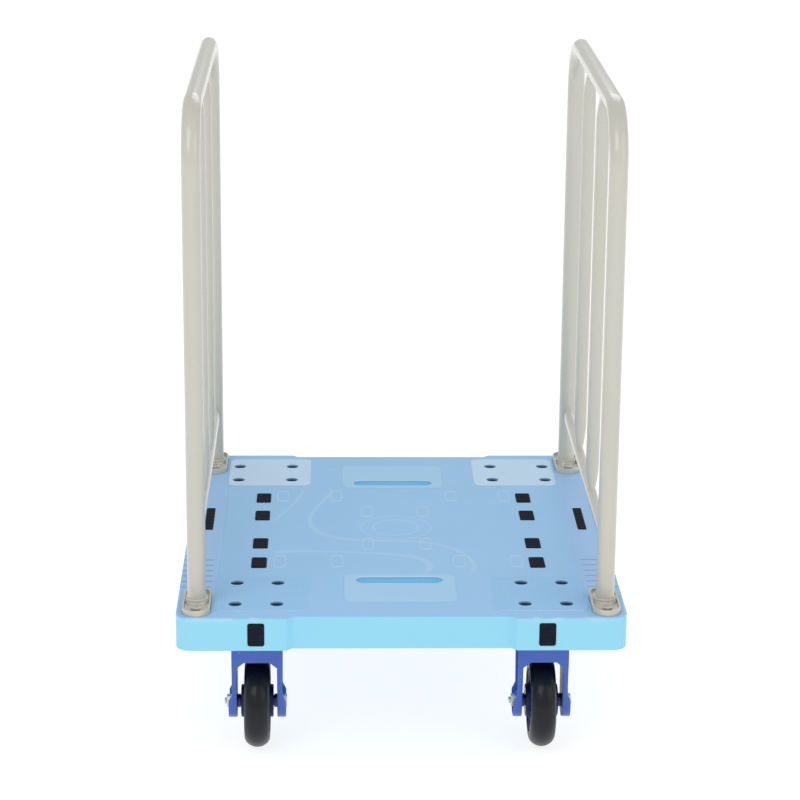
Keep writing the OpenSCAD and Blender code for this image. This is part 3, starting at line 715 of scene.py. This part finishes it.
def place_copies(mesh, places, material, name, slot, node):
    """One piece on the cart made of a mesh's copies, in place of one CAD node."""
    template = new_piece(name + "_template", mesh, material)
    tree = copies_tree(name + "_copies", template, material)
    piece = run_tree(name, path_mesh(name, places), tree, Scale=1.0)
    bpy.context.view_layer.update()
    settle(piece, name, "cart", slot, node)
    bpy.data.objects.remove(template)


# ------------------------------------------------------------------ properties


def colour_property(name, description, value):
    return bpy.props.FloatVectorProperty(
        name=name, description=description, subtype="COLOR", size=3, min=0, max=1, default=value
    )


def length_property(name, description, value):
    return bpy.props.FloatProperty(
        name=name, description=description, unit="LENGTH", subtype="DISTANCE", default=value
    )


class CartColours(bpy.types.PropertyGroup):
    """Colours of the cart's finishes, as linear light."""

    deck_colour: colour_property("Deck", "Moulded deck", (0.290, 0.560, 0.860))
    # Painted light: a lighter cyan lit tone for the deck's walls, standing in for the light falling
    # on them
    lit_side_colour: colour_property("Deck sides", "Walls of the deck", (0.30, 0.72, 0.90))
    panel_colour: colour_property("Panels", "Raised panels of the deck", (0.40, 0.68, 0.93))
    frame_colour: colour_property("Frames", "Powder coat of the side frames", (0.57, 0.56, 0.49))
    fork_colour: colour_property("Forks", "Paint of the caster forks", (0.045, 0.125, 0.54))
    hub_colour: colour_property("Hubs", "Moulded wheel hubs", (0.025, 0.020, 0.105))
    tyre_colour: colour_property("Tyres", "Rubber of the tyres", (0.003, 0.004, 0.008))
    pad_colour: colour_property("Pads", "Rubber of the pads and bumpers", (0.006, 0.009, 0.020))

    def outline_places(self):
        """Middles of the embossed pad outlines, from the centre lines."""
        return [(170 * MM, 146 * MM), (88 * MM, 146 * MM), (42 * MM, 72 * MM)]


class CartSizes(bpy.types.PropertyGroup):
    """Sizes that only the finished pieces have."""

    edge_round: length_property("Plastic edge", "Rounding of the deck's edges", 1.4 * MM)
    metal_round: length_property("Metal edge", "Rounding of pressed steel edges", 0.7 * MM)
    foot_round: length_property("Foot edge", "Rounding of the foot plates' edges", 0.25 * MM)
    bend_radius: length_property("Bend radius", "Radius at the tube's axis", 75 * MM)
    tube_wall: length_property("Tube wall", "Wall of every frame tube", 1.6 * MM)
    press_length: length_property("Pressed length", "Length of a bar's pressed end", 40 * MM)
    press_thickness: length_property("Pressed thickness", "Thickness at a pressed end", 6 * MM)
    bead_radius: length_property("Weld ripple", "Radius of one ripple of a weld", 1.9 * MM)
    tread_crown: length_property("Tread crown", "Radius of the tread across the wheel", 20 * MM)
    thread_pitch: length_property("Thread pitch", "Pitch of the bolt threads", 1.25 * MM)
    bearing_bore: length_property("Bearing bore", "Radius of a wheel bearing's bore", 7.55 * MM)
    bearing_width: length_property("Bearing width", "Width of a wheel bearing", 11 * MM)


# ------------------------------------------------------------------ operators


def finish_named(name):
    return bpy.data.materials[name]


class CART_OT_finishes(bpy.types.Operator):
    """Make every material of the cart"""

    bl_idname = "cart.finishes"
    bl_label = "Finishes"

    def execute(self, context):
        looks = context.scene.cart_colours
        deck_finish(looks)
        frame_finish(looks)
        fork_finish(looks)
        zinc_finish("zinc_plate", (0.70, 0.72, 0.76, 1.0), (0.80, 0.77, 0.68, 1.0))
        zinc_finish("dark_plate", (0.05, 0.07, 0.14, 1.0), (0.08, 0.08, 0.11, 1.0))
        steel_finish()
        tyre_finish(looks)
        hub_finish(looks)
        pad_finish(looks)
        return {"FINISHED"}


class CART_OT_deck(bpy.types.Operator):
    """Round the edges of the moulded deck and give it its plastic"""

    bl_idname = "cart.deck"
    bl_label = "Deck"

    def execute(self, context):
        sizes = context.scene.cart_sizes
        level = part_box("deck")[1].z - 5 * MM
        rounded_copy(
            "deck", "deck_moulding", finish_named("deck_plastic"), "cart", "deck", sizes.edge_round,
            lambda sheet: share_widths(sheet, level, 8 * MM, 0.28),
        )
        return {"FINISHED"}


def ribbed_block(size, ribs, rib_height, crown):
    """A pad of the given size about its own middle, with ribs across its top."""
    sheet = bmesh.new()
    width, length, height = size
    base = height - rib_height
    radius = min(width, length) * 0.14
    outline = []
    for quadrant, (sx, sy) in enumerate(((1, 1), (-1, 1), (-1, -1), (1, -1))):
        centre = (sx * (width / 2 - radius), sy * (length / 2 - radius))
        outline += arc(centre, radius, 90 * quadrant, 90 * quadrant + 90, 5)
    levels = [(0.0, 0.0), (base - crown, 0.0), (base - 0.3 * crown, 0.3 * crown), (base, crown)]
    rings = []
    for z, inset in levels:
        share_x = 1 - 2 * inset / width
        share_y = 1 - 2 * inset / length
        rings.append([Vector((x * share_x, y * share_y, z - height / 2)) for x, y in outline])
    loft(sheet, rings)
    for rib in range(ribs):
        middle = (rib + 0.5) / ribs * (length - 2.4 * crown) - (length - 2.4 * crown) / 2
        half = 0.27 * (length - 2 * crown) / ribs
        reach = width / 2 - 1.6 * crown
        shape = [(-half, -0.2 * rib_height), (-half * 0.7, 0.75 * rib_height)]
        shape.append((-half * 0.3, rib_height))
        shape += [(-across, up) for across, up in reversed(shape)]
        ends = []
        for x in (-reach, reach):
            foot = base - height / 2
            ends.append([Vector((x, middle + across, foot + up)) for across, up in shape])
        loft(sheet, ends)
    return finish_sheet(sheet, "ribbed_block")


class CART_OT_pads(bpy.types.Operator):
    """Make the ribbed grip pads, the long side pads and the end bumpers"""

    bl_idname = "cart.pads"
    bl_label = "Pads and bumpers"

    def execute(self, context):
        rubber = finish_named("pad_rubber")
        for node, ribs, crown in (("grip_pads", 7, 0.9 * MM), ("side_pads", 14, 0.8 * MM)):
            boxes = island_boxes(node)
            size = boxes[0][1] - boxes[0][0]
            mesh = ribbed_block(size, ribs, 0.8 * MM, crown)
            places = [(low + high) / 2 for low, high in boxes]
            place_copies(mesh, places, rubber, "ribbed_" + node, "rubber_pads", node)
        boxes = island_boxes("end_bumpers")
        size = boxes[0][1] - boxes[0][0]
        standing = ribbed_block(Vector((size.x, size.z, size.y)), 5, 0.7 * MM, 1.2 * MM)
        for end, turn in (("front", 90), ("rear", -90)):
            mesh = standing.copy()
            mesh.transform(Matrix.Rotation(math.radians(turn), 4, "X"))
            rear = end == "rear"
            places = [(low + high) / 2 for low, high in boxes if (low.y > 0) == rear]
            place_copies(mesh, places, rubber, end + "_bumpers", "rubber_pads", "end_bumpers")
        return {"FINISHED"}


def hoop_path(node, bend):
    """The centre line of a hoop, from the foot of its front post to the rear one."""
    low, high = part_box(node)
    radius = (high.x - low.x) / 2
    x = (low.x + high.x) / 2
    half = high.y - radius
    top = high.z - radius
    line = [(-half, low.z)]
    line += arc((-half + bend, top - bend), bend, 180, 90, 20)
    line += arc((half - bend, top - bend), bend, 90, 0, 20)
    line.append((half, low.z))
    return [Vector((x, y, z)) for y, z in line], radius


def pressed_skin(sheet, start, end, radius, press, thickness):
    """A tube between two points whose ends are pressed thin in X, keeping its girth."""
    length = (end - start).length
    stations = [press * i / 14 for i in range(15)]
    stations += [length - s for s in reversed(stations)]
    along = (end - start).normalized()
    side = Vector((0, 0, 1)) if abs(along.y) > 0.5 else Vector((0, 1, 0))
    rings = []
    for s in stations:
        near = min(s, length - s) / press
        share = math.sin(min(near, 1.0) * math.pi / 2) ** 0.8
        half = thickness / 2 + (radius - thickness / 2) * share
        flat = max(math.pi * (radius - half) / 2, 0.02 * MM)
        ring = []
        for i in range(34):
            upper = i < 17
            angle = math.pi * (i if upper else i - 1) / 16
            across = half * math.cos(angle)
            up = half * math.sin(angle) + (flat if upper else -flat)
            ring.append(start + along * s + Vector((across, 0, 0)) + side * up)
        rings.append(ring)
    loft(sheet, rings)


def ring_path(centre, first, second, count=40):
    """Points of an oval about a centre, with two half axes as vectors."""
    turns = [2 * math.pi * i / count for i in range(count)]
    return [centre + first * math.cos(t) + second * math.sin(t) for t in turns]


class CART_OT_frames(bpy.types.Operator):
    """Make each side frame's tubes with pressed ends, and the welds between them"""

    bl_idname = "cart.frames"
    bl_label = "Side frames"

    def execute(self, context):
        sizes = context.scene.cart_sizes
        paint = finish_named("frame_coat")
        tube = tube_tree(paint)
        for side in SIDES:
            path, radius = hoop_path(f"{side}_hoop", sizes.bend_radius)
            hoop = run_tree(
                f"{side}_hoop_tube", path_mesh("hoop_path", path), tube,
                Radius=radius, Wall=sizes.tube_wall,
            )
            settle(hoop, f"{side}_hoop_tube", "cart", "frame_paint", f"{side}_hoop")
            self.make_bars(side, sizes, paint)
            self.make_welds(side, sizes, paint, path, radius)
        return {"FINISHED"}

    def make_bars(self, side, sizes, paint):
        for kind, along in (("front_bar", 2), ("rear_bar", 2), ("lower_rail", 1)):
            node = f"{side}_{kind}"
            low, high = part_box(node)
            start = (low + high) / 2
            stop = start.copy()
            start[along] = low[along]
            stop[along] = high[along]
            sheet = bmesh.new()
            pressed_skin(
                sheet, start, stop, (high.x - low.x) / 2, sizes.press_length, sizes.press_thickness
            )
            name = node + "_tube"
            place(finish_sheet(sheet, name), paint, name, "cart", "frame_paint", node)

    def make_welds(self, side, sizes, paint, path, radius):
        """Beads where the bars, the rail and the posts are joined."""
        half = sizes.press_thickness / 2
        paths = []
        x = path[0].x
        for end in ENDS:
            low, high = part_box(f"{side}_{end}_bar")
            wide = half + math.pi * ((high.x - low.x) / 2 - half) / 2
            for z in (low.z, high.z):
                centre = Vector((x, (low.y + high.y) / 2, z))
                paths.append(ring_path(centre, Vector((half, 0, 0)), Vector((0, wide, 0))))
        low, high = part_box(f"{side}_lower_rail")
        tall = half + math.pi * ((high.x - low.x) / 2 - half) / 2
        for y in (low.y, high.y):
            centre = Vector((x, y, (low.z + high.z) / 2))
            paths.append(ring_path(centre, Vector((half, 0, 0)), Vector((0, 0, tall))))
        for foot in (path[0], path[-1]):
            centre = Vector((x, foot.y, foot.z + 6.2 * MM))
            reach = radius + 0.8 * MM
            paths.append(ring_path(centre, Vector((reach, 0, 0)), Vector((0, reach, 0))))
        tree = bead_tree(paint)
        sheet = bmesh.new()
        for points in paths:
            verts = [sheet.verts.new(point) for point in points]
            for i, vertex in enumerate(verts):
                sheet.edges.new((vertex, verts[(i + 1) % len(verts)]))
        mesh = bpy.data.meshes.new("weld_paths")
        sheet.to_mesh(mesh)
        sheet.free()
        piece = run_tree(
            f"{side}_welds", mesh, tree, Pitch=1.8 * MM, Radius=sizes.bead_radius, Seed=3
        )
        settle(piece, f"{side}_frame_welds", "cart", "frame_paint")


class CART_OT_feet(bpy.types.Operator):
    """Round the edges of the four foot plates"""

    bl_idname = "cart.feet"
    bl_label = "Foot plates"

    def execute(self, context):
        paint = finish_named("frame_coat")
        width = context.scene.cart_sizes.foot_round
        for side in SIDES:
            for end in ENDS:
                name = f"{side}_{end}_foot"
                rounded_copy(name, name + "_plate", paint, "cart", "frame_paint", width)
        return {"FINISHED"}


def hexagon_reach(flats, angle):
    """Distance from the axis to a hexagon's side, in the direction of an angle."""
    within = (angle + math.pi / 6) % (math.pi / 3) - math.pi / 6
    return flats / 2 / math.cos(within)


def hex_rings(flats, height, chamfered_low=False, steps=72):
    """Rings of a hexagon head or nut whose corners are turned off at 30 degrees."""
    inner = 0.475 * flats
    slope = math.tan(math.radians(30))
    outline = [2 * math.pi * i / steps for i in range(steps)]

    def level(reach_of, z_of):
        ring = []
        for angle in outline:
            reach = reach_of(angle)
            ring.append(Vector((reach * math.cos(angle), reach * math.sin(angle), z_of(reach))))
        return ring

    full = lambda angle: hexagon_reach(flats, angle)
    rings = []
    if chamfered_low:
        rings.append(level(lambda angle: inner, lambda reach: 0.0))
        rings.append(level(full, lambda reach: (reach - inner) * slope))
    else:
        rings.append(level(full, lambda reach: 0.0))
    rings.append(level(full, lambda reach: height - (reach - inner) * slope))
    rings.append(level(lambda angle: inner, lambda reach: height))
    return rings


def round_ring(radius, z, steps=72):
    turns = [2 * math.pi * i / steps for i in range(steps)]
    return [Vector((radius * math.cos(t), radius * math.sin(t), z)) for t in turns]


def bolt_mesh(diameter, head_flats, head_height, shank, threaded, pitch):
    """A hexagon bolt: its head's underside is at z = 0, and the tip of its shank is threaded."""
    sheet = bmesh.new()
    loft(sheet, hex_rings(head_flats, head_height))
    radius = diameter / 2
    rings = [round_ring(radius, 0.2 * MM), round_ring(radius, -(shank - threaded))]
    turns = int(threaded / pitch)
    for turn in range(turns):
        z = -(shank - threaded) - turn * pitch
        rings.append(round_ring(radius - 0.6 * pitch, z - pitch * 0.35))
        rings.append(round_ring(radius - 0.02 * pitch, z - pitch * 0.85))
    rings.append(round_ring(radius - 0.6 * pitch, -shank))
    loft(sheet, rings)
    return finish_sheet(sheet, "bolt")


def nut_mesh(diameter, flats, height):
    """A hexagon nut with chamfers on both faces, its middle at z = 0."""
    sheet = bmesh.new()
    outer = hex_rings(flats, height, chamfered_low=True)
    lip = [round_ring(diameter / 2 + 0.5 * MM, height), round_ring(diameter / 2, height - 0.5 * MM)]
    foot = [round_ring(diameter / 2, 0.5 * MM), round_ring(diameter / 2 + 0.5 * MM, 0.0)]
    loft(sheet, outer + lip + foot, closed=True)
    mesh = finish_sheet(sheet, "nut")
    mesh.transform(Matrix.Translation((0, 0, -height / 2)))
    return mesh


class CART_OT_fasteners(bpy.types.Operator):
    """Make the bolts, washers and nuts of the feet, casters, king pins and axles"""

    bl_idname = "cart.fasteners"
    bl_label = "Fasteners"

    def execute(self, context):
        sizes = context.scene.cart_sizes
        zinc = finish_named("zinc_plate")
        for kind in ("foot", "caster"):
            plate = zinc if kind == "foot" else finish_named("dark_plate")
            self.make_bolts(kind, plate, sizes)
            self.make_nuts(kind + "_nuts", plate)
            rounded_copy(
                kind + "_washers", kind + "_plain_washers", plate, "cart", "zinc", 0.25 * MM
            )
        self.make_nuts("king_nuts", zinc)
        rounded_copy("king_pins", "king_pin_shafts", zinc, "cart", "zinc", 0.5 * MM)
        for wheel in WHEELS:
            body = "cart" if wheel.startswith("front") else "swivel_" + wheel.split("_")[1]
            self.make_axle(wheel, body, zinc, sizes)
        return {"FINISHED"}

    def make_bolts(self, kind, zinc, sizes):
        node = kind + "_bolts"
        boxes = island_boxes(node)
        low, high = boxes[0]
        flats = (high.y - low.y) if high.y - low.y < high.x - low.x else (high.x - low.x)
        thread = flats / 1.6
        head = 0.65 * thread
        shank = high.z - low.z - head
        mesh = bolt_mesh(thread, flats, head, shank, 12 * MM, sizes.thread_pitch)
        places = [Vector(((a.x + b.x) / 2, (a.y + b.y) / 2, b.z - head)) for a, b in boxes]
        place_copies(mesh, places, zinc, kind + "_hex_bolts", "zinc", node)

    def make_nuts(self, node, zinc):
        boxes = island_boxes(node)
        low, high = boxes[0]
        flats = min(high.x - low.x, high.y - low.y)
        places = [(a + b) / 2 for a, b in boxes]
        mesh = nut_mesh(flats / 1.6, flats, high.z - low.z)
        place_copies(mesh, places, zinc, "hex_" + node, "zinc", node)

    def make_axle(self, wheel, body, zinc, sizes):
        low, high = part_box("axle_bolt_" + wheel)
        nut_low, nut_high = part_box("axle_nut_" + wheel)
        flats = high.y - low.y
        thread = flats / 1.6
        head = 0.65 * thread
        mesh = bolt_mesh(thread, flats, head, high.x - low.x - head, 16 * MM, 1.5 * MM)
        axis = Matrix.Rotation(math.radians(90), 4, "Y")
        middle = (low + high) / 2
        mesh.transform(Matrix.Translation((high.x - head, middle.y, middle.z)) @ axis)
        place(mesh, zinc, "axle_hex_bolt_" + wheel, body, "zinc", "axle_bolt_" + wheel)
        mesh = nut_mesh(thread, flats, nut_high.x - nut_low.x)
        mesh.transform(Matrix.Translation((nut_low + nut_high) / 2) @ axis)
        place(mesh, zinc, "axle_lock_nut_" + wheel, body, "zinc", "axle_nut_" + wheel)


class CART_OT_forks(bpy.types.Operator):
    """Round the pressed edges of the forks and swivel plates"""

    bl_idname = "cart.forks"
    bl_label = "Caster forks"

    def execute(self, context):
        paint = finish_named("fork_coat")
        width = context.scene.cart_sizes.metal_round
        for side in SIDES:
            for node, name, body in (
                ("fixed_fork", "fixed_caster_fork", "cart"),
                ("swivel_plate", "swivel_top_plate", "cart"),
                ("swivel_fork", "swivel_caster_fork", "swivel_" + side),
            ):
                rounded_copy(
                    f"{node}_{side}", f"{name}_{side}", paint, body, "fork_paint", width
                )
            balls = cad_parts[f"race_balls_{side}"]
            balls.data.materials.clear()
            balls.data.materials.append(finish_named("race_steel"))
        return {"FINISHED"}


def tyre_profile(outer, inner, width, crown):
    """The tyre's section: a crowned tread with a parting line, round shoulders and a side ring."""
    half = width / 2
    swing = math.degrees(math.asin(half / crown))
    centre = (outer - crown, 0.0)
    tread = arc(centre, crown, -swing, swing, 40)
    section = []
    for radius, x in tread:
        ridge = 0.18 * MM * math.exp(-((x / (0.5 * MM)) ** 2))
        ease = max(0.0, abs(x) / half - 0.86) * 6 * MM
        section.append((radius - ease - 0.18 * MM + ridge, x))
    shoulder = section[-1][0]
    groove = half - 0.5 * MM
    wall = [(shoulder - 3 * MM, half), (inner + 5.2 * MM, half), (inner + 4.8 * MM, groove)]
    wall += [(inner + 3.4 * MM, groove), (inner + 3.0 * MM, half), (inner, half)]
    return section + wall + [(radius, -x) for radius, x in reversed(wall)]


def hub_profile(rim, seat, width, boss, boss_width, web):
    """The hub's section: a rim under the tyre, a web and a boss with bearing seats."""
    half = width / 2
    side = [
        (rim, half), (rim - 4 * MM, half), (rim - 6.5 * MM, half - 2.5 * MM),
        (rim - 7 * MM, web / 2 + 1.5 * MM), (rim - 9 * MM, web / 2),
        (boss + 2 * MM, web / 2), (boss, web / 2 + 2 * MM),
        (boss, boss_width / 2 - 1 * MM), (boss - 1 * MM, boss_width / 2), (seat, boss_width / 2),
    ]
    return side + [(radius, -x) for radius, x in reversed(side)]


class CART_OT_wheels(bpy.types.Operator):
    """Turn the tyres, ribbed hubs, bearings and axle sleeves"""

    bl_idname = "cart.wheels"
    bl_label = "Wheels"

    def execute(self, context):
        sizes = context.scene.cart_sizes
        for wheel in WHEELS:
            body = "wheel_" + wheel
            low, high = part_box("tyre_" + wheel)
            centre = (low + high) / 2
            outer = (high.y - low.y) / 2
            hub_low, hub_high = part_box("hub_" + wheel)
            bearing_low, bearing_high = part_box("bearings_" + wheel)
            rim = (hub_high.y - hub_low.y) / 2 - 2 * MM
            self.make_tyre(wheel, body, centre, outer, rim, high.x - low.x, sizes)
            seat = (bearing_high.y - bearing_low.y) / 2
            boss_width = hub_high.x - hub_low.x
            self.make_hub(wheel, body, centre, rim, seat, high.x - low.x, boss_width)
            self.make_bearings(wheel, body, centre, seat, boss_width, sizes)
            holder = "cart" if wheel.startswith("front") else "swivel_" + wheel.split("_")[1]
            rounded_copy(
                "sleeve_" + wheel, "axle_sleeve_" + wheel, finish_named("dark_plate"),
                holder, "bearing_steel", 0.3 * MM,
            )
        return {"FINISHED"}

    def make_tyre(self, wheel, body, centre, outer, rim, width, sizes):
        sheet = bmesh.new()
        spin_about_x(sheet, tyre_profile(outer, rim, width, sizes.tread_crown), centre, 128)
        rubber = finish_named("tyre_rubber")
        name = "moulded_tyre_" + wheel
        place(finish_sheet(sheet, name), rubber, name, body, "tyre", "tyre_" + wheel)

    def make_hub(self, wheel, body, centre, rim, seat, width, boss_width):
        boss = seat + BOSS_WALL
        sheet = bmesh.new()
        profile = hub_profile(rim, seat, width - 3 * MM, boss, boss_width, 12 * MM)
        spin_about_x(sheet, profile, centre)
        for face in (-1, 1):
            for spoke in range(8):
                turn = 2 * math.pi * (spoke + 0.5) / 8
                out = Vector((0, math.cos(turn), math.sin(turn)))
                across = Vector((0, -math.sin(turn), math.cos(turn)))
                rings = []
                for reach, half, tall in (
                    (boss - 1 * MM, 2.2 * MM, 19 * MM), (boss + 2 * MM, 1.8 * MM, 17 * MM),
                    (rim - 9 * MM, 1.8 * MM, 12.5 * MM), (rim - 5.5 * MM, 2.4 * MM, 13 * MM),
                ):
                    foot = centre + out * reach
                    up = Vector((face, 0, 0))
                    rings.append([
                        foot - across * half * 1.25 + up * 5 * MM,
                        foot - across * half + up * (tall - 0.8 * MM),
                        foot - across * (half - 0.7 * MM) + up * tall,
                        foot + across * (half - 0.7 * MM) + up * tall,
                        foot + across * half + up * (tall - 0.8 * MM),
                        foot + across * half * 1.25 + up * 5 * MM,
                    ])
                loft(sheet, rings)
        nylon = finish_named("hub_nylon")
        name = "ribbed_hub_" + wheel
        place(finish_sheet(sheet, name), nylon, name, body, "hub", "hub_" + wheel, 0.35 * MM)

    def make_bearings(self, wheel, body, centre, seat, boss_width, sizes):
        bore = sizes.bearing_bore
        width = sizes.bearing_width
        sheet = bmesh.new()
        for side in (-1, 1):
            middle = side * (boss_width / 2 - width / 2)
            half = width / 2
            race = 3.2 * MM
            outer = [(seat, -half), (seat, half), (seat - race, half), (seat - race, -half)]
            inner = [(bore + race, -half), (bore + race, half), (bore, half), (bore, -half)]
            outer_ring = corner_smooth([(r, x + middle) for r, x in outer], 0.4 * MM)
            inner_ring = corner_smooth([(r, x + middle) for r, x in inner], 0.4 * MM)
            near, far = middle - half + 0.7 * MM, middle + half - 0.7 * MM
            edge, root = seat - 3.1 * MM, bore + 2.9 * MM
            shield = [(edge, near), (edge, far), (root, far), (root, near)]
            for profile in (outer_ring, inner_ring, shield):
                spin_about_x(sheet, profile, centre, 72)
        name = "shielded_bearings_" + wheel
        mesh = finish_sheet(sheet, name)
        steel = finish_named("race_steel")
        place(mesh, steel, name, body, "bearing_steel", "bearings_" + wheel, 0.15 * MM)


class CART_OT_studio(bpy.types.Operator):
    """Set the camera, the pale floor and the soft studio light"""

    bl_idname = "cart.studio"
    bl_label = "Studio"

    def execute(self, context):
        scene = context.scene
        self.place_camera(scene)
        floor_finish = Finish(
            "studio_floor",
            {"Roughness": 0.9, "Emission Color": (1.0, 1.0, 1.0, 1.0), "Emission Strength": 0.82},
        )
        vector, _ = floor_finish.graph.place()
        tone = floor_finish.graph.noise(vector, 3.0, 2.0)
        floor_finish.link(
            "Base Color",
            floor_finish.graph.mix(tone, (0.30, 0.30, 0.30, 1.0), (0.32, 0.32, 0.32, 1.0)),
        )
        sheet = bmesh.new()
        bmesh.ops.create_grid(sheet, x_segments=8, y_segments=8, size=30.0)
        mesh = bpy.data.meshes.new("floor")
        sheet.to_mesh(mesh)
        sheet.free()
        new_piece("studio_floor", mesh, floor_finish.material)
        world = bpy.data.worlds.new("studio")
        world.use_nodes = True
        background = world.node_tree.nodes["Background"]
        background.inputs["Color"].default_value = (1.0, 1.0, 1.0, 1.0)
        background.inputs["Strength"].default_value = 0.62
        scene.world = world
        self.add_light("key", (-1.6, -2.6, 3.2), 2.4, 38.0)
        self.add_light("fill", (2.8, -1.8, 2.0), 2.4, 16.0)
        self.add_light("back", (0.6, 2.8, 2.6), 2.0, 14.0)
        scene.view_settings.view_transform = "Standard"
        return {"FINISHED"}

    def place_camera(self, scene):
        data = bpy.data.cameras.new("camera")
        data.lens = 117.7
        data.sensor_width = 36.0
        camera = bpy.data.objects.new("camera", data)
        scene.collection.objects.link(camera)
        azimuth, pitch, roll = (math.radians(a) for a in (-1.604, -16.54, -0.498))
        turn = (
            Matrix.Rotation(azimuth, 4, "Z")
            @ Matrix.Rotation(pitch, 4, "X")
            @ Matrix.Rotation(roll, 4, "Y")
            @ Matrix.Rotation(math.pi / 2, 4, "X")
        )
        camera.matrix_world = Matrix.Translation((-0.0981, -3.6671, 1.5146)) @ turn
        scene.camera = camera

    def add_light(self, name, place, size, power):
        data = bpy.data.lights.new(name, "AREA")
        data.shape = "SQUARE"
        data.size = size
        data.energy = power
        light = bpy.data.objects.new(name, data)
        bpy.context.scene.collection.objects.link(light)
        light.location = place
        aim = Vector((0, 0, 0.45)) - light.location
        light.rotation_euler = aim.to_track_quat("-Z", "Y").to_euler()


class CART_PT_panel(bpy.types.Panel):
    """Lists the cart's sizes, colours and pieces"""

    bl_idname = "CART_PT_panel"
    bl_label = "Platform cart"
    bl_space_type = "VIEW_3D"
    bl_region_type = "UI"
    bl_category = "Cart"

    def draw(self, context):
        column = self.layout.column()
        for group in (context.scene.cart_colours, context.scene.cart_sizes):
            for name in group.__annotations__:
                column.prop(group, name)
        for operator in OPERATORS:
            column.operator(operator.bl_idname)


OPERATORS = (
    CART_OT_finishes,
    CART_OT_deck,
    CART_OT_pads,
    CART_OT_frames,
    CART_OT_feet,
    CART_OT_fasteners,
    CART_OT_forks,
    CART_OT_wheels,
    CART_OT_studio,
)
CLASSES = (CartColours, CartSizes) + OPERATORS + (CART_PT_panel,)


def register():
    for cls in CLASSES:
        bpy.utils.register_class(cls)
    bpy.types.Scene.cart_colours = bpy.props.PointerProperty(type=CartColours)
    bpy.types.Scene.cart_sizes = bpy.props.PointerProperty(type=CartSizes)


def unregister():
    del bpy.types.Scene.cart_sizes
    del bpy.types.Scene.cart_colours
    for cls in reversed(CLASSES):
        bpy.utils.unregister_class(cls)


def main():
    register()
    bpy.ops.cart.finishes()
    bpy.ops.cart.deck()
    bpy.ops.cart.pads()
    bpy.ops.cart.frames()
    bpy.ops.cart.feet()
    bpy.ops.cart.fasteners()
    bpy.ops.cart.forks()
    bpy.ops.cart.wheels()
    bpy.ops.cart.studio()


if __name__ == "__main__":
    main()
